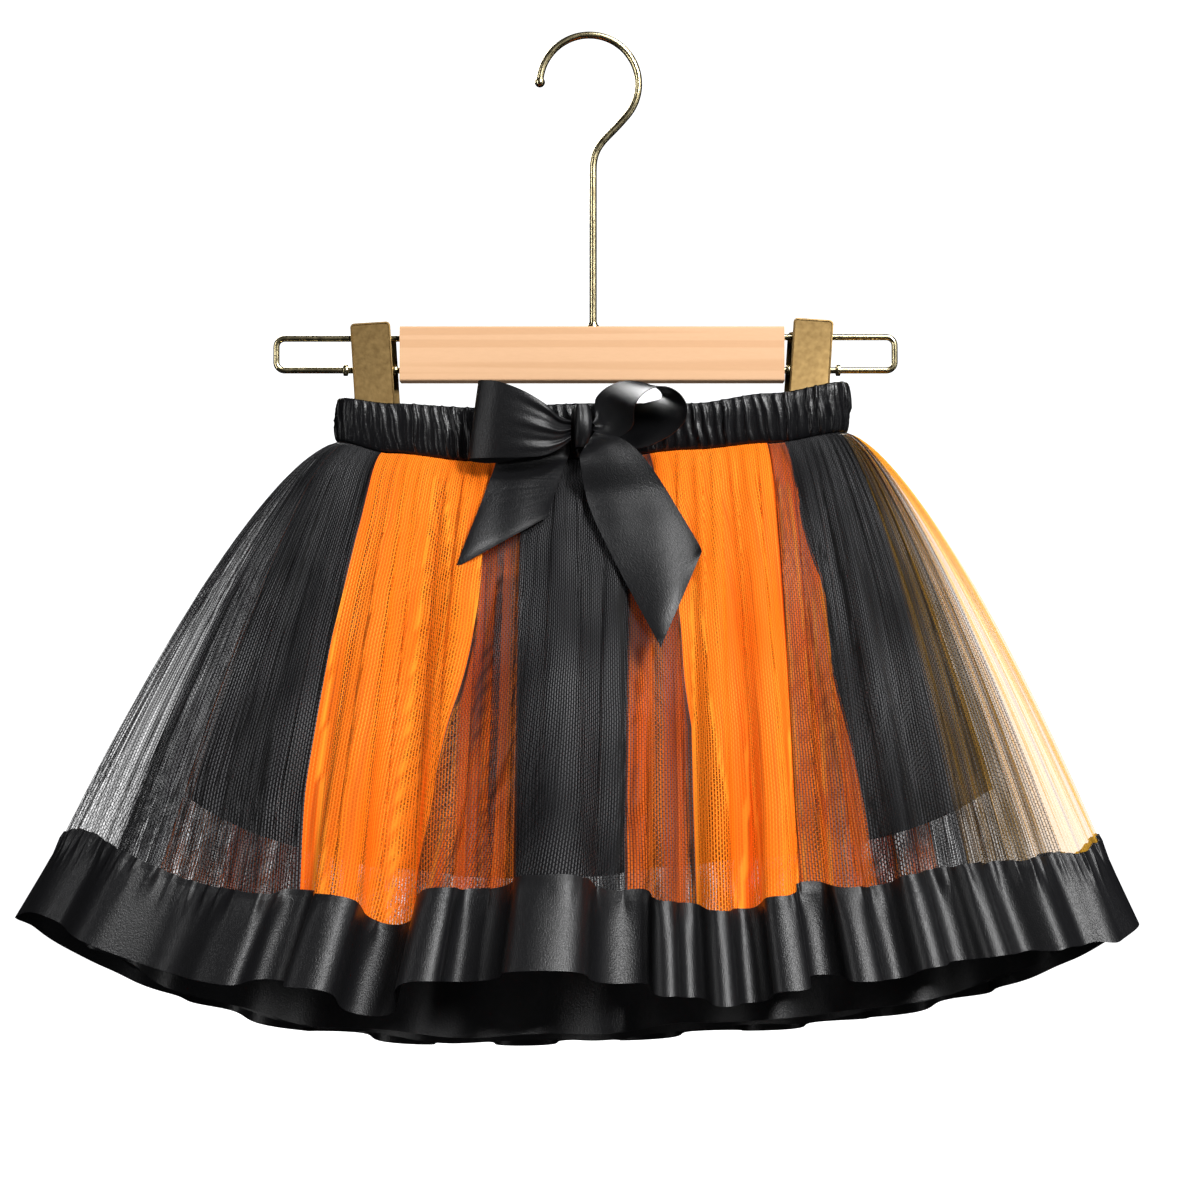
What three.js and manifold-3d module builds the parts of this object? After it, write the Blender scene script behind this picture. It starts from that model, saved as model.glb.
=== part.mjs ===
// A child's two-layer net tutu skirt of a witch costume, hung on a wood and wire clip hanger.
//
// Millimetres. X to the right as seen from the front, Y to the back, Z up. The origin is the inside
// top of the hanger's hook, where it hangs. The tables below measure x from the bar's middle.
//
// The skirt is gathered on an elastic waistband. Each net layer is sewn from black and orange
// panels and ends in a gathered satin ribbon. A short black lining lies inside.

import * as THREE from 'three';
import { mergeVertices } from 'three/addons/utils/BufferGeometryUtils.js';
import Module from 'manifold-3d';

const wasm = await Module();
wasm.setup();

// ---------------------------------------------------------------- driving dimensions

const DEG = Math.PI / 180;
const GAP = 0.3;                 // between pieces that meet
const CLOTH = 1.0;               // wall of every net, ribbon and lining piece

const HOOK = {
  wire: 1.75, centreX: -1.4, bend: 23.8, startAngle: 178, endAngle: -38, stemX: 0.5, bead: 2.5,
  sides: 8, neck: 27, leaveX: -10, leaveZ: -12.5, arriveZ: 13,
};
const BAR = { half: 92, top: -140, height: 26.3, depth: 12, edge: 1 };
const LOOP = { wire: 1.5, corner: 4, lower: -160.6, sides: 8 };
const LOOP_SIDES = [
  { name: 'wire_loop_left', side: -1, end: 151.5, upper: -145.3 },
  { name: 'wire_loop_right', side: 1, end: 145.2, upper: -144.6 },
];

const CLIP = {
  width: 19.2, plate: 1.2, corner: 2, frontFace: -2.25, backFace: 2.25, length: 50, backShift: 2.4,
  backLength: 44,
};
const CLIPS = [
  { name: 'clip_left', side: -1, x: -106.4, top: -137.9, lean: 3.6 },
  { name: 'clip_right', side: 1, x: 106.2, top: -136.2, lean: -3.8 },
];

// The waistband is a flattened ring: the clips' front plates go down inside it and each clip grips
// its back layer.
const BAND = {
  half: 122, front: -16.5, back: 1.95, wall: 3.9, ruffles: 56, ruffle: 1.1, perRuffle: 3,
  clipX: 106, clipReach: 16,
};
const BAND_SECTIONS = [
  { x: -122, top: -175.0, bottom: -196.0 },
  { x: -95, top: -178.0, bottom: -201.8 },
  { x: -55, top: -180.0, bottom: -205.6 },
  { x: 0, top: -178.0, bottom: -204.6 },
  { x: 47, top: -178.0, bottom: -200.0 },
  { x: 84, top: -173.2, bottom: -196.8 },
  { x: 122, top: -167.5, bottom: -191.5 },
];

// The cloth spreads quickly below the waist and then runs almost straight to the hem.
const SPREAD = 0.72;
const FOLD_GROWTH = 1.3;
const SIDE_TURN = 24;            // degrees that the cloth of the diagonals lies nearer the sides
const ROUNDNESS = 0.8;           // 1 is an ellipse, less is fuller
const SIDE_LIFT = 13;            // how much shorter the cloth hangs at its two sides

const OUTER = {
  inset: 0, below: 0.3, centreX: -3.5, half: 234.5, front: -118, back: 6, length: 238,
  rows: [0, 0.1, 0.28, 0.52, 0.76, 1],
};
const OUTER_HEM = { centreX: -5.5, half: 251, front: -133, back: 9, width: 40, flare: 1.25 };

const INNER = {
  inset: 1.35, below: 0.5, centreX: -3.5, half: 214, front: -92, back: -17, length: 236,
  folds: 18, fold: 5, uneven: 1.1, perFold: 6, rows: [0, 0.12, 0.35, 0.68, 1],
};
const INNER_HEM = { centreX: -4.5, half: 224, front: -101, back: -17, width: 38, flare: 1.1 };

const LINING = {
  inset: 2.7, below: 0.9, centreX: -1, half: 182, front: -58, back: -25, length: 186,
  folds: 10, fold: 1.6, uneven: 1.1, perFold: 5, rows: [0, 0.15, 0.5, 1],
};

const GATHER = [0, 0.9, 0.5, 0, 0, 0];   // fine gathers of the outer net at each of its rows

// Folds of the outer layer at its hem seam, across the front from left to right and then across
// the back from right to left. x is the place of a ridge or a hollow, out is how far it stands
// from the mean hem line, curl is how far its flanks lean over, and lift is how much shorter the
// cloth hangs there.
const FRONT_FOLDS = [
  { x: -221, out: -3, curl: 0, lift: 5 },
  { x: -203, out: 4, curl: 0, lift: 7 },
  { x: -178, out: -4, curl: 0, lift: 5 },
  { x: -146, out: 6, curl: 2, lift: 8.5 },
  { x: -128, out: -5, curl: 1, lift: 12.5 },
  { x: -112, out: 9, curl: 4, lift: 12 },
  { x: -88, out: -12, curl: 3, lift: 1 },
  { x: -66, out: 6, curl: 3, lift: 18 },
  { x: -51, out: -9, curl: 1, lift: 16 },
  { x: -18, out: 13, curl: 6, lift: 22 },
  { x: 20, out: -9, curl: 2, lift: 13 },
  { x: 32, out: 3, curl: 1, lift: 8 },
  { x: 43, out: -7, curl: 1, lift: 6 },
  { x: 55, out: 4, curl: 1, lift: 3.5 },
  { x: 67, out: -6, curl: 1, lift: 3 },
  { x: 81, out: 8, curl: 3, lift: 8 },
  { x: 97, out: -9, curl: 2, lift: 12 },
  { x: 111, out: 6, curl: 2, lift: 10 },
  { x: 126, out: -5, curl: 1, lift: 8 },
  { x: 139, out: 5, curl: 1, lift: 11.5 },
  { x: 152, out: -4, curl: 1, lift: 11 },
  { x: 165, out: 4, curl: 1, lift: 11 },
  { x: 178, out: -4, curl: 0, lift: 8 },
  { x: 192, out: 4, curl: 0, lift: 5 },
  { x: 206, out: -3, curl: 0, lift: 1 },
  { x: 218, out: 3, curl: 0, lift: -3 },
];
const BACK_FOLDS = [
  { x: 212, out: 3, curl: 0 },
  { x: 190, out: -6, curl: 1 },
  { x: 165, out: 8, curl: 3 },
  { x: 138, out: -7, curl: 2 },
  { x: 110, out: 9, curl: 4 },
  { x: 82, out: -8, curl: 3 },
  { x: 55, out: 8, curl: 3 },
  { x: 28, out: -9, curl: 3 },
  { x: 0, out: 9, curl: 4 },
  { x: -28, out: -8, curl: 3 },
  { x: -55, out: 9, curl: 4 },
  { x: -82, out: -9, curl: 3 },
  { x: -110, out: 8, curl: 3 },
  { x: -138, out: -8, curl: 2 },
  { x: -165, out: 7, curl: 2 },
  { x: -190, out: -5, curl: 1 },
  { x: -215, out: 3, curl: 0 },
];
const STEPS_PER_FOLD_SIDE = 4;

// Net panels, each from one seam to the next, by their angle round the hem: -90 is the left side,
// 0 the centre front, 90 the right side and 180 the centre back.
const OUTER_PANELS = [
  { name: 'outer_net_black_left', colour: 'black', from: -132, to: -32 },
  { name: 'outer_net_orange_front_left', colour: 'orange', from: -32, to: -17.8 },
  { name: 'outer_net_black_front', colour: 'black', from: -17.8, to: 11.4 },
  { name: 'outer_net_orange_front_right', colour: 'orange', from: 11.4, to: 24.6 },
  { name: 'outer_net_black_right', colour: 'black', from: 24.6, to: 66 },
  { name: 'outer_net_orange_right', colour: 'orange', from: 66, to: 112 },
  { name: 'outer_net_black_back_right', colour: 'black', from: 112, to: 140 },
  { name: 'outer_net_orange_back_right', colour: 'orange', from: 140, to: 162 },
  { name: 'outer_net_black_back', colour: 'black', from: 162, to: 198 },
  { name: 'outer_net_orange_back_left', colour: 'orange', from: 198, to: 228 },
];
const INNER_PANELS = [
  { name: 'inner_net_black_left', colour: 'black', from: -112, to: -27 },
  { name: 'inner_net_orange_front_left', colour: 'orange', from: -27, to: -8 },
  { name: 'inner_net_black_front', colour: 'black', from: -8, to: 5.5 },
  { name: 'inner_net_orange_front_right', colour: 'orange', from: 5.5, to: 36 },
  { name: 'inner_net_black_right', colour: 'black', from: 36, to: 55 },
  { name: 'inner_net_orange_right', colour: 'orange', from: 55, to: 104 },
  { name: 'inner_net_black_back_right', colour: 'black', from: 104, to: 128 },
  { name: 'inner_net_orange_back_right', colour: 'orange', from: 128, to: 170 },
  { name: 'inner_net_black_back', colour: 'black', from: 170, to: 206 },
  { name: 'inner_net_orange_back_left', colour: 'orange', from: 206, to: 248 },
];

// The bow's ribbon is gathered at the knot. Each row is a section of a loop or a tail.
const RIBBON = { lie: 2.6, ridgeSpan: 6 };
const KNOT = {
  x: -5, z: -190.5, width: 10, height: 20, front: -36, back: -17.6, around: 16, rows: 6, rib: 0.6,
  ribs: 4, narrow: 0.72, cap: 0.8,
};
const LOOP_LEFT = [
  { x: -10.8, y: -31, z: -192.5, half: 4.5, lean: 0 },
  { x: -15, y: -35, z: -194, half: 7.4, lean: 0 },
  { x: -22, y: -38.5, z: -193, half: 12, lean: 0.4 },
  { x: -33, y: -39.5, z: -190.4, half: 15.6, lean: 1 },
  { x: -45, y: -38, z: -188.2, half: 17.8, lean: 1.6 },
  { x: -53, y: -34, z: -187.6, half: 18.3, lean: 2.2 },
  { x: -55.5, y: -30.5, z: -187.6, half: 18.3, lean: 2.4 },
  { x: -53, y: -28.4, z: -189, half: 18.2, lean: 2.2 },
  { x: -45, y: -27.6, z: -190.6, half: 17, lean: 1.6 },
  { x: -33, y: -27, z: -191.6, half: 14, lean: 1 },
  { x: -22, y: -26.4, z: -192.2, half: 10, lean: 0.4 },
  { x: -15, y: -26.2, z: -192.2, half: 6.6, lean: 0 },
  { x: -10.8, y: -26.2, z: -192, half: 4.4, lean: 0 },
];
// The right loop stands open. Each row is a section from the ribbon's far edge to its near edge.
const LOOP_RIGHT = [
  { far: [0.75, -29, -186.5], near: [0.5, -33, -194.5] },
  { far: [0.9, -25, -181], near: [10, -37, -197.5] },
  { far: [2.2, -22.3, -176], near: [18.5, -45, -192.5] },
  { far: [7.5, -21.3, -171], near: [19.6, -50, -184.5] },
  { far: [15.5, -21.3, -168.3], near: [22.5, -53, -179] },
  { far: [24, -21.3, -169], near: [28, -54, -175.4] },
  { far: [30.5, -21.6, -171.6], near: [34.5, -54, -174.8] },
  { far: [33, -22, -174.6], near: [40.5, -53.5, -178] },
  { far: [32, -22.3, -177], near: [43.8, -52.5, -184] },
  { far: [26.5, -22.3, -178.5], near: [42, -49, -191.5] },
  { far: [17, -22.3, -181], near: [33, -43, -198] },
  { far: [8, -22.5, -185], near: [19, -34, -201.5] },
  { far: [0.8, -25, -188], near: [0.7, -28, -196.5] },
];
const LOOP_RIGHT_STEPS = 24;
const TAIL_LEFT = [
  { leftX: -10.8, leftZ: -193.0, rightX: -10.6, rightZ: -199.6, y: -21.6 },
  { leftX: -26.5, leftZ: -196.6, rightX: -10.6, rightZ: -202.8, y: -21.6 },
  { leftX: -40.0, leftZ: -202.2, rightX: -11.9, rightZ: -206.6, y: -21.6 },
  { leftX: -45.2, leftZ: -209.4, rightX: -14.2, rightZ: -213.5, y: -21.6 },
  { leftX: -52.6, leftZ: -231.0, rightX: -17.0, rightZ: -222.7, y: -21.6 },
  { leftX: -62.3, leftZ: -258.3, rightX: -20.3, rightZ: -234.2, y: -21.6 },
];
const TAIL_RIGHT = [
  { leftX: -4.0, leftZ: -202.0, rightX: 0.8, rightZ: -194.5, y: -34.6 },
  { leftX: -5.5, leftZ: -205.5, rightX: 13.0, rightZ: -197.0, y: -41.5 },
  { leftX: -5.0, leftZ: -211.0, rightX: 23.0, rightZ: -205.0, y: -43 },
  { leftX: -3.2, leftZ: -222.0, rightX: 32.8, rightZ: -218.5, y: -42 },
  { leftX: 1.4, leftZ: -236.0, rightX: 40.6, rightZ: -232.0, y: -40 },
  { leftX: 14.0, leftZ: -262.5, rightX: 49.0, rightZ: -247.0, y: -39 },
  { leftX: 31.2, leftZ: -295.0, rightX: 50.4, rightZ: -251.0, y: -38.5 },
];
const TAIL_COLUMNS = 5;

const COLOURS = {
  black: { color: 0x15151a, roughness: 0.7, metalness: 0 },
  orange: { color: 0xff7a14, roughness: 0.7, metalness: 0 },
  satin: { color: 0x0b0b0d, roughness: 0.35, metalness: 0 },
  lining: { color: 0x101013, roughness: 0.6, metalness: 0 },
  wood: { color: 0xe3bd8c, roughness: 0.5, metalness: 0 },
  wire: { color: 0xcdbb7c, roughness: 0.2, metalness: 1 },
  clip: { color: 0x9c8d5c, roughness: 0.4, metalness: 1 },
};

// ---------------------------------------------------------------- helpers

const costume = new THREE.Group();
costume.position.x = -HOOK.centreX;   // brings the hook's inside top to the origin

function addPiece(name, geometry, finish) {
  const mesh = new THREE.Mesh(geometry, new THREE.MeshStandardMaterial(COLOURS[finish]));
  mesh.name = name;
  costume.add(mesh);
  return mesh;
}

// The value of a column at x, eased between the table's rows.
function alongTable(rows, x, column) {
  const last = rows.length - 1;
  if (x <= rows[0].x) return rows[0][column];
  if (x >= rows[last].x) return rows[last][column];
  const next = rows.findIndex((row) => row.x > x);
  const share = (x - rows[next - 1].x) / (rows[next].x - rows[next - 1].x);
  const eased = share * share * (3 - 2 * share);
  return THREE.MathUtils.lerp(rows[next - 1][column], rows[next][column], eased);
}

// A closed wall from two grids of points, outer and inner, each a list of columns of points. A ring
// joins its last column to its first, and an open panel has a rim at each side.
function wallGeometry(outer, inner, ring) {
  const columns = outer.length;
  const rows = outer[0].length;
  const positions = [];
  for (const grid of [outer, inner]) {
    for (const column of grid) {
      for (const point of column) positions.push(point.x, point.y, point.z);
    }
  }
  const at = (face, column, row) => face * columns * rows + (column % columns) * rows + row;
  const triangles = [];
  const quad = (a, b, c, d) => triangles.push(a, b, c, a, c, d);
  const spans = ring ? columns : columns - 1;
  for (let i = 0; i < spans; i += 1) {
    for (let j = 0; j < rows - 1; j += 1) {
      quad(at(0, i, j), at(0, i, j + 1), at(0, i + 1, j + 1), at(0, i + 1, j));
      quad(at(1, i, j), at(1, i + 1, j), at(1, i + 1, j + 1), at(1, i, j + 1));
    }
    quad(at(0, i, 0), at(0, i + 1, 0), at(1, i + 1, 0), at(1, i, 0));
    quad(at(0, i, rows - 1), at(1, i, rows - 1), at(1, i + 1, rows - 1), at(0, i + 1, rows - 1));
  }
  if (!ring) {
    const end = columns - 1;
    for (let j = 0; j < rows - 1; j += 1) {
      quad(at(0, 0, j), at(1, 0, j), at(1, 0, j + 1), at(0, 0, j + 1));
      quad(at(0, end, j), at(0, end, j + 1), at(1, end, j + 1), at(1, end, j));
    }
  }
  const geometry = new THREE.BufferGeometry();
  geometry.setAttribute('position', new THREE.Float32BufferAttribute(positions, 3));
  geometry.setIndex(triangles);
  return facingOut(geometry);
}

// Turns a closed geometry so that its faces point out.
function facingOut(geometry) {
  const index = geometry.getIndex();
  const place = geometry.getAttribute('position');
  const corner = [new THREE.Vector3(), new THREE.Vector3(), new THREE.Vector3()];
  let volume = 0;
  for (let i = 0; i < index.count; i += 3) {
    for (let k = 0; k < 3; k += 1) corner[k].fromBufferAttribute(place, index.getX(i + k));
    volume += corner[0].dot(corner[1].clone().cross(corner[2]));
  }
  if (volume < 0) {
    for (let i = 0; i < index.count; i += 3) {
      const second = index.getX(i + 1);
      index.setX(i + 1, index.getX(i + 2));
      index.setX(i + 2, second);
    }
  }
  geometry.computeVertexNormals();
  return geometry;
}

// A round wire through a list of points, with one section at each of them.
class WirePath extends THREE.Curve {
  constructor(points) {
    super();
    this.points = points;
  }

  getPoint(share) {
    const place = share * (this.points.length - 1);
    const index = Math.min(Math.floor(place), this.points.length - 2);
    return this.points[index].clone().lerp(this.points[index + 1], place - index);
  }

  getPointAt(share) {
    return this.getPoint(share);
  }

  getTangentAt(share) {
    const place = Math.round(share * (this.points.length - 1));
    const before = this.points[Math.max(place - 1, 0)];
    const after = this.points[Math.min(place + 1, this.points.length - 1)];
    return after.clone().sub(before).normalize();
  }
}

function wireGeometry(points, radius, sides) {
  const section = new THREE.Shape();
  section.absarc(0, 0, radius, 0, 2 * Math.PI);
  return new THREE.ExtrudeGeometry(section, {
    steps: points.length - 1, curveSegments: sides / 2, extrudePath: new WirePath(points),
  });
}

function arcPoints(centreX, centreZ, radius, fromAngle, toAngle, count) {
  return Array.from({ length: count + 1 }, (_, i) => {
    const angle = THREE.MathUtils.lerp(fromAngle, toAngle, i / count) * DEG;
    return new THREE.Vector3(
      centreX + radius * Math.cos(angle), 0, centreZ + radius * Math.sin(angle));
  });
}

function toSolid(geometry) {
  const bare = geometry.clone();
  bare.deleteAttribute('normal');
  bare.deleteAttribute('uv');
  const merged = mergeVertices(bare, 1e-4);
  return new wasm.Manifold(new wasm.Mesh({
    numProp: 3,
    vertProperties: new Float32Array(merged.getAttribute('position').array),
    triVerts: new Uint32Array(merged.getIndex().array),
  }));
}

function fromSolid(solid) {
  const mesh = solid.getMesh();
  const geometry = new THREE.BufferGeometry();
  geometry.setAttribute('position', new THREE.Float32BufferAttribute(mesh.vertProperties, 3));
  geometry.setIndex(Array.from(mesh.triVerts));
  geometry.computeVertexNormals();
  return geometry;
}

// ---------------------------------------------------------------- hanger

// The hook: a round bend, a reverse curve into the straight stem, and a bead at the open tip.
function buildHook() {
  const centreZ = HOOK.wire - HOOK.bend;
  const bend = arcPoints(HOOK.centreX, centreZ, HOOK.bend, HOOK.startAngle, HOOK.endAngle, 20);
  const leave = bend[bend.length - 1];
  const stemTop = new THREE.Vector3(HOOK.stemX, 0, leave.z - HOOK.neck);
  const reverse = new THREE.CubicBezierCurve3(
    leave,
    leave.clone().add(new THREE.Vector3(HOOK.leaveX, 0, HOOK.leaveZ)),
    stemTop.clone().add(new THREE.Vector3(0, 0, HOOK.arriveZ)),
    stemTop,
  ).getPoints(8).slice(1);
  const stemEnd = new THREE.Vector3(HOOK.stemX, 0, BAR.top + GAP);
  const wire = toSolid(wireGeometry([...bend, ...reverse, stemEnd], HOOK.wire, HOOK.sides));
  const ball = new THREE.SphereGeometry(HOOK.bead, 10, 8);
  ball.translate(bend[0].x, bend[0].y, bend[0].z);
  addPiece('hook', fromSolid(wire.add(toSolid(ball))), 'wire');
}

function buildBar() {
  const half = { y: BAR.depth / 2, z: BAR.height / 2 };
  const section = new THREE.Shape();
  section.moveTo(-half.z + BAR.edge, -half.y);
  section.lineTo(half.z - BAR.edge, -half.y);
  section.absarc(half.z - BAR.edge, -half.y + BAR.edge, BAR.edge, -90 * DEG, 0);
  section.lineTo(half.z, half.y - BAR.edge);
  section.absarc(half.z - BAR.edge, half.y - BAR.edge, BAR.edge, 0, 90 * DEG);
  section.lineTo(-half.z + BAR.edge, half.y);
  section.absarc(-half.z + BAR.edge, half.y - BAR.edge, BAR.edge, 90 * DEG, 180 * DEG);
  section.lineTo(-half.z, -half.y + BAR.edge);
  section.absarc(-half.z + BAR.edge, -half.y + BAR.edge, BAR.edge, 180 * DEG, 270 * DEG);
  const bar = new THREE.ExtrudeGeometry(section, {
    depth: 2 * BAR.half, curveSegments: 2, bevelEnabled: false,
  });
  bar.rotateY(90 * DEG);
  const mesh = addPiece('bar', bar, 'wood');
  mesh.position.set(-BAR.half, 0, BAR.top - half.z);
}

// A wire loop stands out of each end of the bar, and carries a clip.
function buildWireLoop({ name, side, end, upper }) {
  const start = BAR.half + GAP;
  const inside = end - LOOP.corner;
  const points = [
    new THREE.Vector3(start, 0, upper),
    new THREE.Vector3((start + inside) / 2, 0, upper),
    ...arcPoints(inside, upper - LOOP.corner, LOOP.corner, 90, 0, 4),
    ...arcPoints(inside, LOOP.lower + LOOP.corner, LOOP.corner, 0, -90, 4),
    new THREE.Vector3((start + inside) / 2, 0, LOOP.lower),
    new THREE.Vector3(start, 0, LOOP.lower),
  ];
  for (const point of points) point.x *= side;
  addPiece(name, wireGeometry(points, LOOP.wire, LOOP.sides), 'wire');
}

function platePiece(name, centreX, top, length, backY, lean) {
  const half = CLIP.width / 2;
  const plate = new THREE.Shape();
  plate.moveTo(-half, -length);
  plate.lineTo(half, -length);
  plate.lineTo(half, -CLIP.corner);
  plate.absarc(half - CLIP.corner, -CLIP.corner, CLIP.corner, 0, 90 * DEG);
  plate.lineTo(-half + CLIP.corner, 0);
  plate.absarc(-half + CLIP.corner, -CLIP.corner, CLIP.corner, 90 * DEG, 180 * DEG);
  const geometry = new THREE.ExtrudeGeometry(plate, {
    depth: CLIP.plate, curveSegments: 3, bevelEnabled: false,
  });
  geometry.rotateX(90 * DEG);
  const mesh = addPiece(name, geometry, 'clip');
  mesh.rotation.set(0, -lean * DEG, 0);
  mesh.position.set(centreX, backY, top);
}

// A clip is two sprung plates on the wire loop, one each side of the waistband's back layer.
function buildClip({ name, side, x, top, lean }) {
  const shift = -side * CLIP.backShift;
  const lower = CLIP.length - CLIP.backLength;
  platePiece(`${name}_front`, x, top, CLIP.length, CLIP.frontFace, lean);
  platePiece(`${name}_back`, x + shift, top - lower, CLIP.backLength, CLIP.backFace + CLIP.plate, lean);
}

// ---------------------------------------------------------------- waistband

// The plan of the waist, a slot with round ends, moved in by inset. The angle is 0 at the centre
// front and 90 degrees at the right side.
function waistPoint(angle, inset) {
  const half = BAND.half - inset;
  const depth = (BAND.back - BAND.front) / 2 - inset;
  const centreY = (BAND.back + BAND.front) / 2;
  const x = half * Math.sin(angle * DEG);
  const past = Math.max(Math.abs(x) - (half - depth), 0);
  const reach = Math.sqrt(Math.max(depth * depth - past * past, 0));
  const forward = Math.cos(angle * DEG) >= 0 ? 1 : -1;
  return new THREE.Vector3(x, centreY - forward * reach, 0);
}

function waistOutward(angle) {
  const step = 0.5;
  const along = waistPoint(angle + step, 0).sub(waistPoint(angle - step, 0));
  return new THREE.Vector3(along.y, -along.x, 0).normalize();
}

// The gathered casing: ruffles stand out of the ring's outer face, and lie flat under the clips.
function buildWaistband() {
  const count = BAND.ruffles * BAND.perRuffle;
  const levels = [
    { down: 0, ruffle: 0.5 },
    { down: 0.55, ruffle: 1 },
    { down: 1, ruffle: 0.3 },
  ];
  const outer = [];
  const inner = [];
  for (let i = 0; i < count; i += 1) {
    const angle = -90 + (360 * i) / count;
    const flat = waistPoint(angle, 0);
    const inside = waistPoint(angle, BAND.wall);
    const outward = waistOutward(angle);
    const atClip = angle > 90 && Math.abs(Math.abs(flat.x) - BAND.clipX) < BAND.clipReach;
    const wave = 0.5 - 0.5 * Math.cos((2 * Math.PI * i) / BAND.perRuffle);
    const lift = atClip ? 0 : BAND.ruffle * wave;
    const top = alongTable(BAND_SECTIONS, flat.x, 'top');
    const bottom = alongTable(BAND_SECTIONS, flat.x, 'bottom');
    const column = [];
    const lined = [];
    for (const level of levels) {
      const z = THREE.MathUtils.lerp(top, bottom, level.down);
      column.push(flat.clone().addScaledVector(outward, lift * level.ruffle).setZ(z));
      lined.push(inside.clone().setZ(z));
    }
    outer.push(column);
    inner.push(lined);
  }
  addPiece('waistband', wallGeometry(outer, inner, true), 'satin');
}

// ---------------------------------------------------------------- skirt layers

// The angle at the waist of the cloth that reaches the hem at this angle.
function waistAngle(angle) {
  return angle + SIDE_TURN * Math.sin(2 * angle * DEG);
}

function hemPoint(line, angle) {
  const cosine = Math.cos(angle * DEG);
  const centreY = (line.front + line.back) / 2;
  const depth = (line.back - line.front) / 2;
  const full = Math.sign(cosine) * Math.abs(cosine) ** ROUNDNESS;
  return new THREE.Vector3(
    line.centreX + line.half * Math.sin(angle * DEG), centreY - depth * full, 0);
}

function hemOutward(line, angle) {
  const depth = (line.back - line.front) / 2;
  return new THREE.Vector3(
    depth * Math.sin(angle * DEG), -line.half * Math.cos(angle * DEG), 0).normalize();
}

// The outer layer's ridges and hollows by angle, all the way round from the left side.
function foldStations() {
  const angleOf = (row) => Math.asin((row.x - OUTER.centreX) / OUTER.half) / DEG;
  const front = FRONT_FOLDS.map((row) => ({ ...row, angle: angleOf(row) }));
  const back = BACK_FOLDS.map((row) => ({ ...row, lift: 0, angle: 180 - angleOf(row) }));
  const left = { angle: -90, out: 2, curl: 0, lift: 0 };
  const right = { angle: 90, out: -2, curl: 0, lift: 0 };
  return [left, ...front, right, ...back, { ...left, angle: 270 }];
}

const STATIONS = foldStations();

// How far the outer layer stands out, leans over and is lifted at an angle.
function tableFold(angle) {
  let turned = angle;
  while (turned < -90) turned += 360;
  while (turned >= 270) turned -= 360;
  const next = STATIONS.findIndex((station) => station.angle > turned);
  const before = STATIONS[next - 1];
  const after = STATIONS[next];
  const share = (turned - before.angle) / (after.angle - before.angle);
  const eased = 0.5 - 0.5 * Math.cos(Math.PI * share);
  const curl = THREE.MathUtils.lerp(before.curl, after.curl, share);
  return {
    out: THREE.MathUtils.lerp(before.out, after.out, eased),
    along: curl * Math.sin(2 * Math.PI * share),
    lift: THREE.MathUtils.lerp(before.lift, after.lift, eased),
  };
}

function evenFold(layer, angle) {
  const phase = layer.folds * angle * DEG + layer.uneven * Math.sin(3 * angle * DEG);
  return { out: layer.fold * Math.sin(phase), along: 0, lift: 0 };
}

function foldOf(layer, angle) {
  return layer === OUTER ? tableFold(angle) : evenFold(layer, angle);
}

// Moves a plan point by a layer's fold.
function folded(point, line, layer, angle, amount) {
  const outward = hemOutward(line, angle);
  const fold = foldOf(layer, angle);
  point.addScaledVector(outward, fold.out * amount);
  point.x += -outward.y * fold.along * amount;
  point.y += outward.x * fold.along * amount;
  return point;
}

function slantLength(layer, angle) {
  const sideLift = SIDE_LIFT * Math.abs(Math.sin(angle * DEG)) ** 4;
  return layer.length - sideLift - foldOf(layer, angle).lift;
}

// How far below the waist seam the layer's lower edge hangs.
function layerDrop(layer, angle) {
  const run = hemPoint(layer, angle).distanceTo(waistPoint(waistAngle(angle), layer.inset));
  const slant = slantLength(layer, angle);
  return Math.sqrt(slant * slant - run * run);
}

// A point of a layer's outer face, from the waist seam, down 0, to its lower edge, down 1.
function layerPoint(layer, angle, down) {
  const top = waistPoint(waistAngle(angle), layer.inset);
  const start = alongTable(BAND_SECTIONS, top.x, 'bottom') - layer.below;
  const point = top.lerp(hemPoint(layer, angle), down ** SPREAD);
  folded(point, layer, layer, angle, down ** FOLD_GROWTH);
  return point.setZ(start - layerDrop(layer, angle) * down);
}

// A point of a ribbon's outer face, from the net's edge, down 0, to the ribbon's free edge, down 1.
function hemBandPoint(layer, line, angle, down) {
  const seam = layerPoint(layer, angle, 1);
  const free = folded(hemPoint(line, angle), line, layer, angle, line.flare);
  const run = Math.hypot(
    hemPoint(line, angle).x - hemPoint(layer, angle).x,
    hemPoint(line, angle).y - hemPoint(layer, angle).y);
  free.z = seam.z - Math.sqrt(line.width * line.width - run * run);
  return seam.lerp(free, down);
}

// The wall behind a surface: its outer points, and the same points moved in by the cloth.
function surfaceColumn(surface, angle, rows, shift) {
  const turn = 0.2;
  const fall = 0.02;
  const outer = [];
  const inner = [];
  rows.forEach((down, row) => {
    const above = Math.max(down - fall, 0);
    const below = Math.min(down + fall, 1);
    const across = surface(angle + turn, down).sub(surface(angle - turn, down)).normalize();
    const fallLine = surface(angle, below).sub(surface(angle, above)).normalize();
    const outward = fallLine.clone().cross(across).normalize();
    if (down === 0 && outward.z < 0) outward.setZ(0).normalize();
    const point = surface(angle, down).addScaledVector(across, shift.across);
    point.addScaledVector(outward, shift.out ? shift.out[row] : 0);
    outer.push(point);
    inner.push(point.clone().addScaledVector(outward, -CLOTH));
  });
  return { outer, inner };
}

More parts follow.
